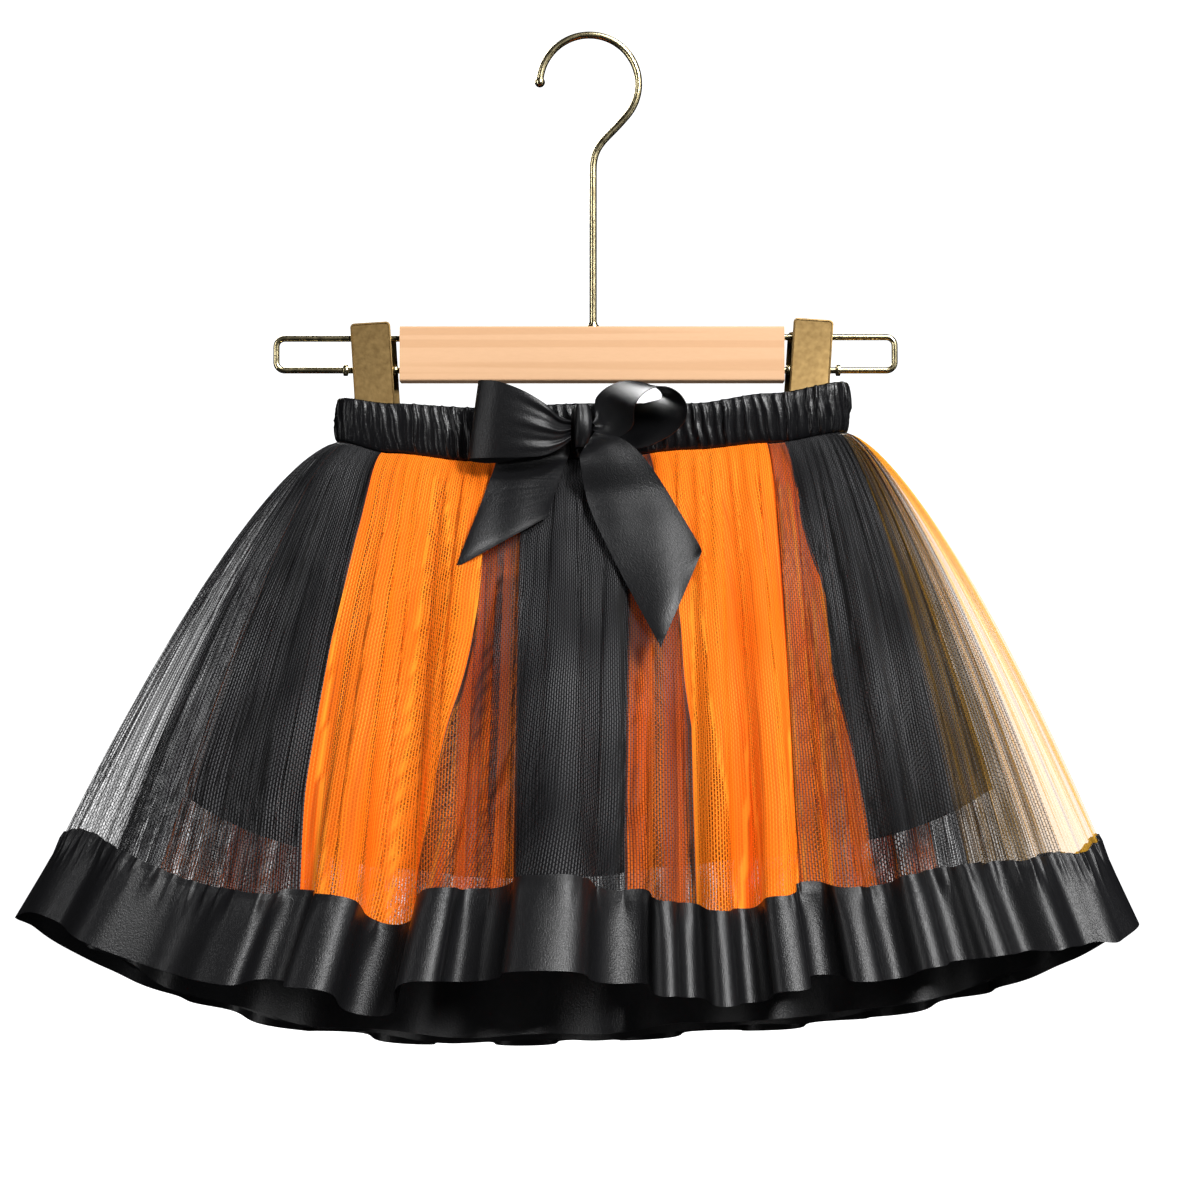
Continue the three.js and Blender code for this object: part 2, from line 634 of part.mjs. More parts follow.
function foldAngles() {
  const angles = [];
  for (let i = 0; i < STATIONS.length - 1; i += 1) {
    for (let step = 0; step < STEPS_PER_FOLD_SIDE; step += 1) {
      const share = step / STEPS_PER_FOLD_SIDE;
      angles.push(THREE.MathUtils.lerp(STATIONS[i].angle, STATIONS[i + 1].angle, share));
    }
  }
  return angles;
}

function evenAngles(layer) {
  const count = layer.folds * layer.perFold;
  return Array.from({ length: count }, (_, i) => -90 + (360 * i) / count);
}

function anglesOf(layer) {
  return layer === OUTER ? foldAngles() : evenAngles(layer);
}

// The angles from one seam to the next, with a column on each seam and none close beside it.
function panelAngles(layer, panel) {
  const least = 0.35;
  const all = anglesOf(layer);
  const turns = [...all.map((angle) => angle - 360), ...all, ...all.map((angle) => angle + 360)];
  const between = turns.filter((angle) => angle > panel.from + least && angle < panel.to - least);
  return [panel.from, ...between, panel.to];
}

function buildPanel(layer, panel) {
  const angles = panelAngles(layer, panel);
  const all = anglesOf(layer);
  const columns = angles.map((angle, i) => {
    const first = i === 0;
    const last = i === angles.length - 1;
    const across = (first - last) * (GAP / 2);
    const parity = all.indexOf(angle < -90 ? angle + 360 : angle) % 2 === 0 ? 1 : -1;
    const gathered = layer === OUTER && !first && !last;
    const out = gathered ? GATHER.map((amount) => amount * parity) : null;
    const surface = (at, down) => layerPoint(layer, at, down);
    return surfaceColumn(surface, angle, layer.rows, { across, out });
  });
  const geometry = wallGeometry(
    columns.map((column) => column.outer), columns.map((column) => column.inner), false);
  addPiece(panel.name, geometry, panel.colour);
}

function buildRing(name, angles, rows, surface, finish) {
  const columns = angles.map((angle) => surfaceColumn(surface, angle, rows, { across: 0 }));
  const geometry = wallGeometry(
    columns.map((column) => column.outer), columns.map((column) => column.inner), true);
  addPiece(name, geometry, finish);
}

function buildSkirt() {
  for (const panel of OUTER_PANELS) buildPanel(OUTER, panel);
  for (const panel of INNER_PANELS) buildPanel(INNER, panel);
  const outerBand = (angle, down) => hemBandPoint(OUTER, OUTER_HEM, angle, down);
  const innerBand = (angle, down) => hemBandPoint(INNER, INNER_HEM, angle, down);
  const bandRows = (line) => [(2 * GAP) / line.width, 0.5, 1];
  buildRing('hem_ribbon_outer', foldAngles(), bandRows(OUTER_HEM), outerBand, 'satin');
  buildRing('hem_ribbon_inner', evenAngles(INNER), bandRows(INNER_HEM), innerBand, 'satin');
  const liningPoint = (angle, down) => layerPoint(LINING, angle, down);
  buildRing('lining', evenAngles(LINING), LINING.rows, liningPoint, 'lining');
}

// ---------------------------------------------------------------- bow

// How far forward the net's ridges stand near a place seen from the front.
function netFront(x, z) {
  let front = 0;
  for (let angle = -60; angle <= 60; angle += 0.5) {
    const waist = waistPoint(waistAngle(angle), OUTER.inset);
    const start = alongTable(BAND_SECTIONS, waist.x, 'bottom') - OUTER.below;
    const down = THREE.MathUtils.clamp((start - z) / layerDrop(OUTER, angle), 0, 1);
    const point = layerPoint(OUTER, angle, down);
    if (Math.abs(point.x - x) < RIBBON.ridgeSpan) front = Math.min(front, point.y);
  }
  return front;
}

// A ribbon from sections, each a row of points across it, with its thickness centred on them.
function ribbonGeometry(sections) {
  const outer = [];
  const inner = [];
  sections.forEach((section, i) => {
    const before = sections[Math.max(i - 1, 0)];
    const after = sections[Math.min(i + 1, sections.length - 1)];
    const front = [];
    const behind = [];
    section.forEach((point, k) => {
      const along = after[k].clone().sub(before[k]);
      const low = section[Math.max(k - 1, 0)];
      const high = section[Math.min(k + 1, section.length - 1)];
      const face = along.cross(high.clone().sub(low)).normalize();
      front.push(point.clone().addScaledVector(face, CLOTH / 2));
      behind.push(point.clone().addScaledVector(face, -CLOTH / 2));
    });
    outer.push(front);
    inner.push(behind);
  });
  return wallGeometry(outer, inner, false);
}

function buildKnot() {
  const centreY = (KNOT.front + KNOT.back) / 2;
  const depth = (KNOT.back - KNOT.front) / 2;
  const outer = [];
  for (let row = 0; row <= KNOT.rows; row += 1) {
    const share = row / KNOT.rows;
    const swell = THREE.MathUtils.lerp(KNOT.narrow, 1, Math.sin(Math.PI * share));
    const ring = [];
    for (let i = 0; i < KNOT.around; i += 1) {
      const angle = (2 * Math.PI * i) / KNOT.around;
      const rib = KNOT.rib * Math.cos(KNOT.ribs * angle);
      ring.push(new THREE.Vector3(
        KNOT.x + ((KNOT.width / 2 + rib) * swell - KNOT.rib) * Math.sin(angle),
        centreY + (depth * swell - KNOT.rib + rib) * Math.cos(angle),
        KNOT.z + KNOT.height * (0.5 - share)));
    }
    outer.push(ring);
  }
  const positions = [];
  const triangles = [];
  for (const ring of outer) for (const point of ring) positions.push(point.x, point.y, point.z);
  const top = outer.length * KNOT.around;
  positions.push(KNOT.x, centreY, KNOT.z + KNOT.height / 2 + KNOT.cap);
  positions.push(KNOT.x, centreY, KNOT.z - KNOT.height / 2 - KNOT.cap);
  for (let i = 0; i < KNOT.around; i += 1) {
    const next = (i + 1) % KNOT.around;
    for (let row = 0; row < KNOT.rows; row += 1) {
      const a = row * KNOT.around;
      const b = a + KNOT.around;
      triangles.push(a + i, b + i, b + next, a + i, b + next, a + next);
    }
    triangles.push(top, i, next, top + 1, top - KNOT.around + next, top - KNOT.around + i);
  }
  const geometry = new THREE.BufferGeometry();
  geometry.setAttribute('position', new THREE.Float32BufferAttribute(positions, 3));
  geometry.setIndex(triangles);
  addPiece('bow_knot', facingOut(geometry), 'satin');
}

function buildLoopLeft() {
  const sections = LOOP_LEFT.map((row) => [1, 0.33, -0.33, -1].map(
    (up) => new THREE.Vector3(row.x + up * row.lean, row.y, row.z + up * row.half)));
  addPiece('bow_loop_left', ribbonGeometry(sections), 'satin');
}

function buildLoopRight() {
  const edge = (name) => new THREE.CatmullRomCurve3(
    LOOP_RIGHT.map((row) => new THREE.Vector3(...row[name])), false, 'catmullrom');
  const far = edge('far');
  const near = edge('near');
  const sections = [];
  for (let i = 0; i <= LOOP_RIGHT_STEPS; i += 1) {
    const share = i / LOOP_RIGHT_STEPS;
    sections.push([0, 1 / 3, 2 / 3, 1].map(
      (across) => far.getPoint(share).lerp(near.getPoint(share), across)));
  }
  addPiece('bow_loop_right', ribbonGeometry(sections), 'satin');
}

// A tail hangs from the knot and lies on the net.
function buildTail(name, rows) {
  const sections = rows.map((row) => Array.from({ length: TAIL_COLUMNS }, (_, k) => {
    const share = k / (TAIL_COLUMNS - 1);
    const x = THREE.MathUtils.lerp(row.leftX, row.rightX, share);
    const z = THREE.MathUtils.lerp(row.leftZ, row.rightZ, share);
    return new THREE.Vector3(x, Math.min(row.y, netFront(x, z) - RIBBON.lie), z);
  }));
  addPiece(name, ribbonGeometry(sections), 'satin');
}

// ---------------------------------------------------------------- assembly

buildHook();
buildBar();
for (const loop of LOOP_SIDES) buildWireLoop(loop);
for (const clip of CLIPS) buildClip(clip);
buildWaistband();
buildSkirt();
buildKnot();
buildLoopLeft();
buildLoopRight();
buildTail('bow_tail_left', TAIL_LEFT);
buildTail('bow_tail_right', TAIL_RIGHT);

export default costume;
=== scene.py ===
# %% [markdown]
# # A tutu skirt of a witch costume, on a clip hanger
#
# The real skirt is sewn from soft net. Two layers of black and orange panels are gathered on an
# elastic waistband, each layer ends in a gathered satin ribbon, and a short black lining lies
# inside. A satin bow is sewn to the front. Two sprung clips on a wooden bar hold the waistband.
#
# This lesson dresses the plain solids of that skirt. Every cloth piece is a bmesh grid that a
# formula lays on its solid's surface, so the folds can be finer than the solid's and still stay
# where the solid is. A cloth simulation was the other choice. It was left out because folds that
# are gathered have known places, and the seams between panels stay shut.

# %% Open the frame
import math

import bmesh
import bpy
import numpy as np
from mathutils import Matrix, Vector


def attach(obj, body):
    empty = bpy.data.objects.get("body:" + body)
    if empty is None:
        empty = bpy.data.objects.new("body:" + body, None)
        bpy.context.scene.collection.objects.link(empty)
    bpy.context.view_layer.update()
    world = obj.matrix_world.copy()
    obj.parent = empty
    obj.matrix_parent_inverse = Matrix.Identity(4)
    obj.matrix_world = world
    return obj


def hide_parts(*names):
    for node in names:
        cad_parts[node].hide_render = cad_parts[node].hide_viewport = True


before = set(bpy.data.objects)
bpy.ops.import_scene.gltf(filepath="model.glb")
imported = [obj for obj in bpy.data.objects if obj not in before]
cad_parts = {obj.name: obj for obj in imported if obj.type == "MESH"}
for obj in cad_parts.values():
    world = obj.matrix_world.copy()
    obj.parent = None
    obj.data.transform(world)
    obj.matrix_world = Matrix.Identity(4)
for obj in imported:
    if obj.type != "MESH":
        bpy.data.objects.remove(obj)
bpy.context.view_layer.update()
print("nodes in the frame:", len(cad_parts))

# %% [markdown]
# ## Stage, camera and light
#
# The skirt hangs, so the floor is well below it. A pale tent round everything gives an even
# background from every side. It doesn't show in glossy reflections: black satin looks black only
# where dark space is mirrored in it, and its highlights come from the lamps alone.

# %% Make the floor and the tent
MM = 0.001
FLOOR_Z = -0.66
TENT = {"radius": 3.2, "height": 4.0, "corner": 0.8, "corner_steps": 8, "sides": 96, "glow": 0.95}


def new_material(name):
    material = bpy.data.materials.new(name)
    material.use_nodes = True
    tree = material.node_tree
    return material, tree, tree.nodes["Principled BSDF"]


def set_inputs(tree, node, **inputs):
    """Sets or links inputs by name, with _ for a space, or by number after an underscore."""
    for name, value in inputs.items():
        socket = node.inputs[int(name[1:]) if name[0] == "_" else name.replace("_", " ")]
        if isinstance(value, bpy.types.NodeSocket):
            tree.links.new(value, socket)
        else:
            socket.default_value = value


def add_object(name, data):
    thing = bpy.data.objects.new(name, data)
    bpy.context.collection.objects.link(thing)
    return thing


def finish_mesh(bm, name, sharp=None):
    """Turns a bmesh into a smooth object at the origin. Edges past sharp degrees stay sharp."""
    mesh = bpy.data.meshes.new(name)
    bm.to_mesh(mesh)
    bm.free()
    for polygon in mesh.polygons:
        polygon.use_smooth = True
    piece = add_object(name, mesh)
    if sharp:
        mesh.set_sharp_from_angle(angle=math.radians(sharp))
    return piece


def make_tent():
    bm = bmesh.new()
    inside = TENT["radius"] - TENT["corner"]
    profile = [Vector((0, 0, FLOOR_Z)), Vector((inside, 0, FLOOR_Z))]
    for step in range(1, TENT["corner_steps"] + 1):
        turn = math.radians(90 * step / TENT["corner_steps"])
        profile.append(Vector((inside + TENT["corner"] * math.sin(turn), 0,
                               FLOOR_Z + TENT["corner"] * (1 - math.cos(turn)))))
    profile.append(Vector((TENT["radius"], 0, TENT["height"])))
    verts = [bm.verts.new(point) for point in profile]
    edges = [bm.edges.new(pair) for pair in zip(verts, verts[1:])]
    bmesh.ops.spin(bm, geom=verts + edges, cent=(0, 0, 0), axis=(0, 0, 1), angle=math.tau,
                   steps=TENT["sides"], use_merge=True)
    bmesh.ops.remove_doubles(bm, verts=bm.verts, dist=1e-5)
    bmesh.ops.recalc_face_normals(bm, faces=bm.faces)
    bmesh.ops.reverse_faces(bm, faces=bm.faces)
    material, tree, shader = new_material("tent_paper")
    paper = (0.8, 0.8, 0.8, 1)
    set_inputs(tree, shader, Base_Color=paper, Roughness=1.0, Specular_IOR_Level=0.0,
               Emission_Color=paper, Emission_Strength=TENT["glow"])
    tent = finish_mesh(bm, "tent")
    tent.data.materials.append(material)
    tent.visible_glossy = False
    tent.visible_diffuse = False


make_tent()
print("floor", round(-FLOOR_Z * 100), "cm below the hook")

# %% Place the camera
CAMERA = {"place": (0.0052, -1.3, -0.321), "tilt": 92.21, "lens": 81.6}

camera_data = bpy.data.cameras.new("camera")
camera_data.lens = CAMERA["lens"]
camera = add_object("camera", camera_data)
camera.location = CAMERA["place"]
camera.rotation_euler = (math.radians(CAMERA["tilt"]), 0, 0)
bpy.context.scene.camera = camera
print("camera", CAMERA["place"])

# %% Hang the lamps
LAMPS = [  # name, place, target, width and height in metres, power in watts
    ("key", (0.9, -1.5, 0.75), (0.0, -0.05, -0.3), 0.5, 0.5, 37),
    ("strip_left", (-1.35, -0.9, -0.1), (0.0, -0.05, -0.35), 0.16, 1.5, 6.5),
    ("strip_right", (1.35, -0.6, -0.1), (0.0, -0.05, -0.35), 0.16, 1.5, 1.5),
    ("top", (0.55, -0.6, 1.1), (0.0, -0.05, -0.2), 0.9, 0.35, 14),
    ("back", (-0.6, 1.6, 0.7), (0.0, 0.0, -0.25), 0.9, 0.9, 20),
]


def hang_lamp(name, place, target, width, height, power):
    data = bpy.data.lights.new(name, "AREA")
    data.shape = "RECTANGLE"
    data.size = width
    data.size_y = height
    data.energy = power
    lamp = add_object(name, data)
    lamp.location = place
    aim = Vector(target) - Vector(place)
    lamp.rotation_euler = aim.to_track_quat("-Z", "Y").to_euler()


for lamp_row in LAMPS:
    hang_lamp(*lamp_row)

SKY = {"colour": (0.97, 0.98, 1.0, 1), "strength": 0.38}
CLOTH_LAYERS = 40    # how many see-through layers of net a ray may pass

world = bpy.data.worlds.new("studio")
bpy.context.scene.world = world
world.use_nodes = True
set_inputs(world.node_tree, world.node_tree.nodes["Background"], Color=SKY["colour"],
           Strength=SKY["strength"])
world.cycles_visibility.glossy = False
bpy.context.scene.view_settings.view_transform = "Standard"
bpy.context.scene.cycles.transparent_max_bounces = CLOTH_LAYERS
print("lamps:", len(LAMPS))

# %% [markdown]
# ## Materials
#
# Net is a fine knit: upright wales of thread, joined by courses, with rows of small holes between
# them. A Brick Texture is just that, turned a quarter: its bricks are the holes, its mortar the
# thread. The pattern reads each panel's own UV map, which is in metres of flat cloth, so it is
# the same size on every panel and follows the folds.
#
# Where net is gathered or pleated, it lies in several layers. The first is drawn thread by thread.
# The others only cover by their mean, because the same threads drawn again would hide nothing.

# %% Helpers for node materials
def add_node(tree, kind, settings=None, **inputs):
    """Adds a node, sets its fields, and sets or links its inputs."""
    node = tree.nodes.new(kind)
    for field, value in (settings or {}).items():
        setattr(node, field, value)
    set_inputs(tree, node, **inputs)
    return node


def math_of(tree, operation, first, second=0.0, third=0.0, clamp=False):
    settings = {"operation": operation, "use_clamp": clamp}
    return add_node(tree, "ShaderNodeMath", settings, _0=first, _1=second, _2=third).outputs[0]


def mix_of(tree, share, *colours):
    """Mixes two colours, each of them a socket or three numbers."""
    first, second = (colour if isinstance(colour, bpy.types.NodeSocket) else (*colour, 1)
                     for colour in colours)
    settings = {"data_type": "RGBA"}
    return add_node(tree, "ShaderNodeMix", settings, _0=share, _6=first, _7=second).outputs[2]


def place_of(tree, which, stretch, turn=0.0):
    """The piece's flat place in metres, or its place as an object, stretched and turned."""
    if which == "cloth":
        place = add_node(tree, "ShaderNodeUVMap", {"uv_map": "cloth"}).outputs["UV"]
    else:
        place = add_node(tree, "ShaderNodeTexCoord").outputs["Object"]
    return add_node(tree, "ShaderNodeMapping", Vector=place, Scale=stretch,
                    Rotation=(0, 0, turn)).outputs["Vector"]


def noise_of(tree, which, stretch, detail=2.0):
    """Noise that is finer along an axis the more its place is stretched there."""
    return add_node(tree, "ShaderNodeTexNoise", Vector=place_of(tree, which, stretch), Scale=1.0,
                    Detail=detail).outputs[0]


def attribute_of(tree, name):
    return add_node(tree, "ShaderNodeAttribute", {"attribute_name": name}).outputs["Fac"]


def bump_of(tree, height, strength, distance=0.2 * MM):
    return add_node(tree, "ShaderNodeBump", Strength=strength, Distance=distance,
                    Height=height).outputs[0]


print("node helpers ready")

# %% Net
NET = {"wale": 1.45 * MM, "course": 2.3 * MM, "squeeze": 1.6, "soft": 0.3, "dash": 0.52 * MM,
       "strands": (420, 8, 1), "clouds": (60, 14, 1), "patches": (22, 16, 1), "shadow": 0.55}


def knit_of(tree, shift, gap):
    """The knit's bricks, moved by part of a wale, with a gap of a size round each of them."""
    turned = place_of(tree, "cloth", (1, NET["squeeze"], 1), turn=math.radians(90))
    moved = add_node(tree, "ShaderNodeVectorMath", {"operation": "ADD"}, _0=turned,
                     _1=(0, shift * NET["wale"], 0)).outputs[0]
    return add_node(
        tree, "ShaderNodeTexBrick", {"offset": 0.5, "squash": 1.0}, Vector=moved, Scale=1.0,
        Mortar_Size=gap, Mortar_Smooth=NET["soft"], Brick_Width=NET["squeeze"] * NET["course"],
        Row_Height=NET["wale"]).outputs["Fac"]


def net_alpha(tree, knit, strands, layers, even, film, mean):
    """How much the net covers: its knit in the first layer, and its mean in the others."""
    clouds = noise_of(tree, "cloth", NET["clouds"])
    cover = math_of(tree, "MULTIPLY_ADD", knit, 1.0 - film, film)
    uneven = math_of(tree, "MULTIPLY_ADD", clouds, 0.14, 0.78)
    uneven = math_of(tree, "MULTIPLY_ADD", strands, 0.28, uneven)
    sharp = math_of(tree, "MINIMUM", math_of(tree, "MULTIPLY", cover, uneven), 0.97)
    single = math_of(tree, "MULTIPLY_ADD", math_of(tree, "SUBTRACT", mean, sharp), even, sharp)
    first = math_of(tree, "MINIMUM", layers, 1.0)
    others = math_of(tree, "MAXIMUM", math_of(tree, "SUBTRACT", layers, 1.0), 0.0)
    open_first = math_of(tree, "POWER", math_of(tree, "SUBTRACT", 1.0, single), first)
    open_share = math_of(tree, "MULTIPLY", open_first, math_of(tree, "POWER", 1.0 - mean, others))
    return math_of(tree, "SUBTRACT", 1.0, open_share, clamp=True)


def make_net(name, colours, thread, film, mean, roughness):
    """Net of some colours. thread is half its width, film what the finest fibres cover."""
    material, tree, shader = new_material(name)
    knit = knit_of(tree, 0.0, thread)
    strands = noise_of(tree, "cloth", NET["strands"])
    even, layers = attribute_of(tree, "evenness"), attribute_of(tree, "fullness")
    # Crowded net turns deeper in colour: partly the tone of stacked net, partly painted shade in
    # its gathers.
    crowded = math_of(tree, "MULTIPLY_ADD", layers, 0.35, -0.35, clamp=True)
    shade = mix_of(tree, crowded, colours["thread"], colours["stacked_and_shaded"])
    # Painted highlight: short bright dashes on the threads, shown in patches, stand in for lit
    # threads.
    dash = math_of(tree, "SUBTRACT", 1.0, knit_of(tree, 0.5, NET["dash"]))
    patches = noise_of(tree, "cloth", NET["patches"], 1.0)
    shown = math_of(tree, "MULTIPLY_ADD", patches, 1.5, -0.45, clamp=True)
    shade = mix_of(tree, math_of(tree, "MULTIPLY", dash, shown), shade, colours["glint"])
    # Painted shade: fine dark lines in the creases where the net is crowded.
    shaded_lines = math_of(tree, "MULTIPLY_ADD", strands, -7.0, 3.3, clamp=True)
    shadow = math_of(tree, "MULTIPLY", math_of(tree, "MULTIPLY", shaded_lines, crowded), NET["shadow"])
    shade = mix_of(tree, shadow, shade, [0.3 * part for part in colours["stacked_and_shaded"]])
    # Painted light: net spread out flat is made paler, like light shining through its thin
    # threads.
    shade = mix_of(tree, even, shade, colours["light_through"])
    # At pleat edges orange net gets a painted highlight along the crest, and black net painted
    # shade.
    shade = mix_of(tree, attribute_of(tree, "turned_edge"), shade, colours["turned"])
    set_inputs(tree, shader, Base_Color=shade, Normal=bump_of(tree, knit, 0.3),
               Alpha=net_alpha(tree, knit, strands, layers, even, film, mean),
               Roughness=roughness, Specular_IOR_Level=0.12)
    return material


# Besides each net's own thread colour, these hold painted light: a deeper colour for crowded net,
# partly painted shade; a painted highlight for lit thread dashes; a paler colour of painted light
# through net spread flat; and a pleat-edge colour, a painted highlight on orange and shade on
# black.
BLACKS = {"thread": (0.008, 0.008, 0.009), "stacked_and_shaded": (0.005, 0.005, 0.006),
          "glint": (0.18, 0.18, 0.185), "turned": (0.004, 0.004, 0.004),
          "light_through": (0.02, 0.02, 0.02)}
ORANGES = {"thread": (1.0, 0.215, 0.006), "stacked_and_shaded": (0.97, 0.135, 0.002),
           "glint": (1.0, 0.36, 0.045), "turned": (1.0, 0.30, 0.02), "light_through": (1.0, 0.58, 0.06)}
net_black = make_net("net_black", BLACKS, 0.22 * MM, film=0.09, mean=0.24, roughness=0.6)
net_orange = make_net("net_orange", ORANGES, 0.34 * MM, film=0.13, mean=0.38, roughness=0.7)
print("net pitch", NET["wale"] / MM, "mm")

# %% [markdown]
# Satin floats its warp threads on the face, so it is smooth and its highlight is stretched and
# slightly speckled. Fine noise, long along the warp, does both in the roughness and the bump. The
# waistband's satin is pulled tight and shines more. The lining is a plain weave and stays dull.

# %% Satin and lining
def make_satin(name, colour, roughness, grain):
    material, tree, shader = new_material(name)
    threads = noise_of(tree, "cloth", (2600, 420, 1))
    speckle = noise_of(tree, "cloth", (1200, 1200, 1), 3.0)
    set_inputs(tree, shader, Specular_IOR_Level=0.38,
               Base_Color=mix_of(tree, threads, [0.6 * part for part in colour], colour),
               Roughness=math_of(tree, "MULTIPLY_ADD", speckle, grain, roughness - grain / 2),
               Normal=bump_of(tree, math_of(tree, "ADD", threads, speckle), 0.5))
    return material


satin_black = make_satin("satin_black", (0.0075, 0.0075, 0.0085), 0.36, 0.16)
satin_tight = make_satin("satin_tight", (0.006, 0.006, 0.007), 0.25, 0.14)
lining_black = make_satin("lining_black", (0.006, 0.006, 0.007), 0.6, 0.1)
print("satin ready")

# %% [markdown]
# The bar is pale maple. Growth rings cut lengthwise give long fine lines, a little darker than the
# wood, so one noise stretched along the bar draws them and a second softens them. Both are read
# on object coordinates. The clips' brass is antiqued, so it is mottled, and the wire is bright.

# %% Wood and brass
WOOD = {"ring": (0.60, 0.33, 0.165), "between": (0.72, 0.44, 0.25), "dark": (0.65, 0.375, 0.20),
        "pale": (0.78, 0.50, 0.295), "fleck": (0.55, 0.30, 0.15), "ring_ends": (0.44, 0.5)}


def make_wood(name):
    material, tree, shader = new_material(name)
    grain = noise_of(tree, "object", (5, 160, 160), 4.0)
    rings = noise_of(tree, "object", (2.2, 60, 190), 1.0)
    flecks = noise_of(tree, "object", (260, 1400, 1400))
    line = add_node(tree, "ShaderNodeValToRGB", Fac=rings)
    for element, place, part in zip(line.color_ramp.elements, WOOD["ring_ends"],
                                    ("ring", "between")):
        element.position, element.color = place, (*WOOD[part], 1)
    soft = mix_of(tree, grain, WOOD["dark"], WOOD["pale"])
    tone = mix_of(tree, 0.5, line.outputs[0], soft)
    spots = mix_of(tree, math_of(tree, "MULTIPLY", flecks, 0.25), tone, WOOD["fleck"])
    set_inputs(tree, shader, Base_Color=spots, Normal=bump_of(tree, flecks, 0.12, 0.3 * MM),
               Roughness=0.5, Specular_IOR_Level=0.35)
    return material


def make_brass(name, bright, dull, roughness, spot):
    """Brass that is mottled between two colours, with spots of a size in metres."""
    material, tree, shader = new_material(name)
    mottle = noise_of(tree, "object", (1 / spot,) * 3, 5.0)
    fine = noise_of(tree, "object", (4 / spot,) * 3, 3.0)
    mottled = math_of(tree, "MULTIPLY_ADD", mottle, 1.6, -0.3, clamp=True)
    set_inputs(tree, shader, Base_Color=mix_of(tree, mottled, dull, bright), Metallic=1.0,
               Roughness=math_of(tree, "MULTIPLY_ADD", fine, 0.2, roughness - 0.1),
               Normal=bump_of(tree, fine, 0.05))
    return material


maple = make_wood("maple")
wire_brass = make_brass("wire_brass", (0.98, 0.86, 0.52), (0.86, 0.72, 0.40), 0.26, 12 * MM)
clip_brass = make_brass("clip_brass", (0.48, 0.32, 0.13), (0.27, 0.17, 0.064), 0.5, 2.8 * MM)
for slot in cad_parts["bar"].material_slots:
    slot.material = maple
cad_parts["bar"].visible_glossy = False   # so that its colour isn't mirrored in the satin
print("materials:", len(bpy.data.materials))

# %% [markdown]
# ## The skirt's shape
#
# The waist is a slot with round ends and the hem is a wide soft oval. A layer of cloth runs from
# one to the other, so a point of it needs only its angle round the body and how far down it lies.
# The tables hold the places of the large folds. Lengths are millimetres in this part, measured
# from the bar's middle, and SHIFT brings them to the hook.

# %% Sizes of the waist and the layers
SHIFT = np.array([1.4, 0.0, 0.0])
DEGREE = math.pi / 180


def table(names, rows):
    """Rows of numbers as named columns."""
    return dict(zip(names.split(), np.array(rows, float).T))


BAND = {"half": 122, "front": -16.5, "back": 1.95, "wall": 3.9, "clip_x": 106, "clip_reach": 16}
BAND_EDGES = table("x top bottom", [
    (-122, -175.0, -196.0), (-95, -178.0, -201.8), (-55, -180.0, -205.6), (0, -178.0, -204.6),
    (47, -178.0, -200.0), (84, -173.2, -196.8), (122, -167.5, -191.5)])
SPREAD = 0.72        # below 1, the skirt bells out near the waist
FOLD_GROWTH = 1.3    # above 1, folds open mostly near the hem
SIDE_TURN = 24       # degrees by which the waist's gathers are drawn to the sides
ROUNDNESS = 0.8      # 1 is an ellipse, and less is fuller
SIDE_LIFT = 13       # how much shorter a layer is at its sides
OUTER = {"inset": 0, "below": 0.3, "centre_x": -3.5, "half": 234.5, "front": -118, "back": 6,
         "length": 238}
OUTER_HEM = {"centre_x": -5.5, "half": 251, "front": -133, "back": 9, "width": 40, "flare": 1.25}
INNER = {"inset": 1.35, "below": 0.5, "centre_x": -3.5, "half": 214, "front": -92, "back": -17,
         "length": 236, "folds": 18, "fold": 5, "uneven": 1.1}
INNER_HEM = {"centre_x": -4.5, "half": 224, "front": -101, "back": -17, "width": 38, "flare": 1.1}
LINING = {"inset": 2.7, "below": 0.9, "centre_x": -1, "half": 182, "front": -58, "back": -25,
          "length": 186, "folds": 10, "fold": 1.6, "uneven": 1.1}
FRONT_FOLDS = table("x out curl lift", [
    (-221, -3, 0, 5), (-203, 4, 0, 7), (-178, -4, 0, 5), (-146, 6, 2, 8.5), (-128, -5, 1, 12.5),
    (-112, 9, 4, 12), (-88, -12, 3, 1), (-66, 6, 3, 18), (-51, -9, 1, 16), (-18, 13, 6, 22),
    (20, -9, 2, 13), (32, 3, 1, 8), (43, -7, 1, 6), (55, 4, 1, 3.5), (67, -6, 1, 3),
    (81, 8, 3, 8), (97, -9, 2, 12), (111, 6, 2, 10), (126, -5, 1, 8), (139, 5, 1, 11.5),
    (152, -4, 1, 11), (165, 4, 1, 11), (178, -4, 0, 8), (192, 4, 0, 5), (206, -3, 0, 1),
    (218, 3, 0, -3)])
BACK_FOLDS = table("x out curl", [
    (212, 3, 0), (190, -6, 1), (165, 8, 3), (138, -7, 2), (110, 9, 4), (82, -8, 3), (55, 8, 3),
    (28, -9, 3), (0, 9, 4), (-28, -8, 3), (-55, 9, 4), (-82, -9, 3), (-110, 8, 3), (-138, -8, 2),
    (-165, 7, 2), (-190, -5, 1), (-215, 3, 0)])
print("large folds:", len(FRONT_FOLDS["x"]) + len(BACK_FOLDS["x"]))

# %% Formulas for the waist, the hem and the folds
def along_table(columns, x, name):
    """The value of a column at x, eased between rows."""
    places = columns["x"]
    values = columns[name]
    row = np.clip(np.searchsorted(places, x, side="right") - 1, 0, len(places) - 2)
    share = np.clip((x - places[row]) / (places[row + 1] - places[row]), 0, 1)
    return values[row] + (values[row + 1] - values[row]) * share * share * (3 - 2 * share)


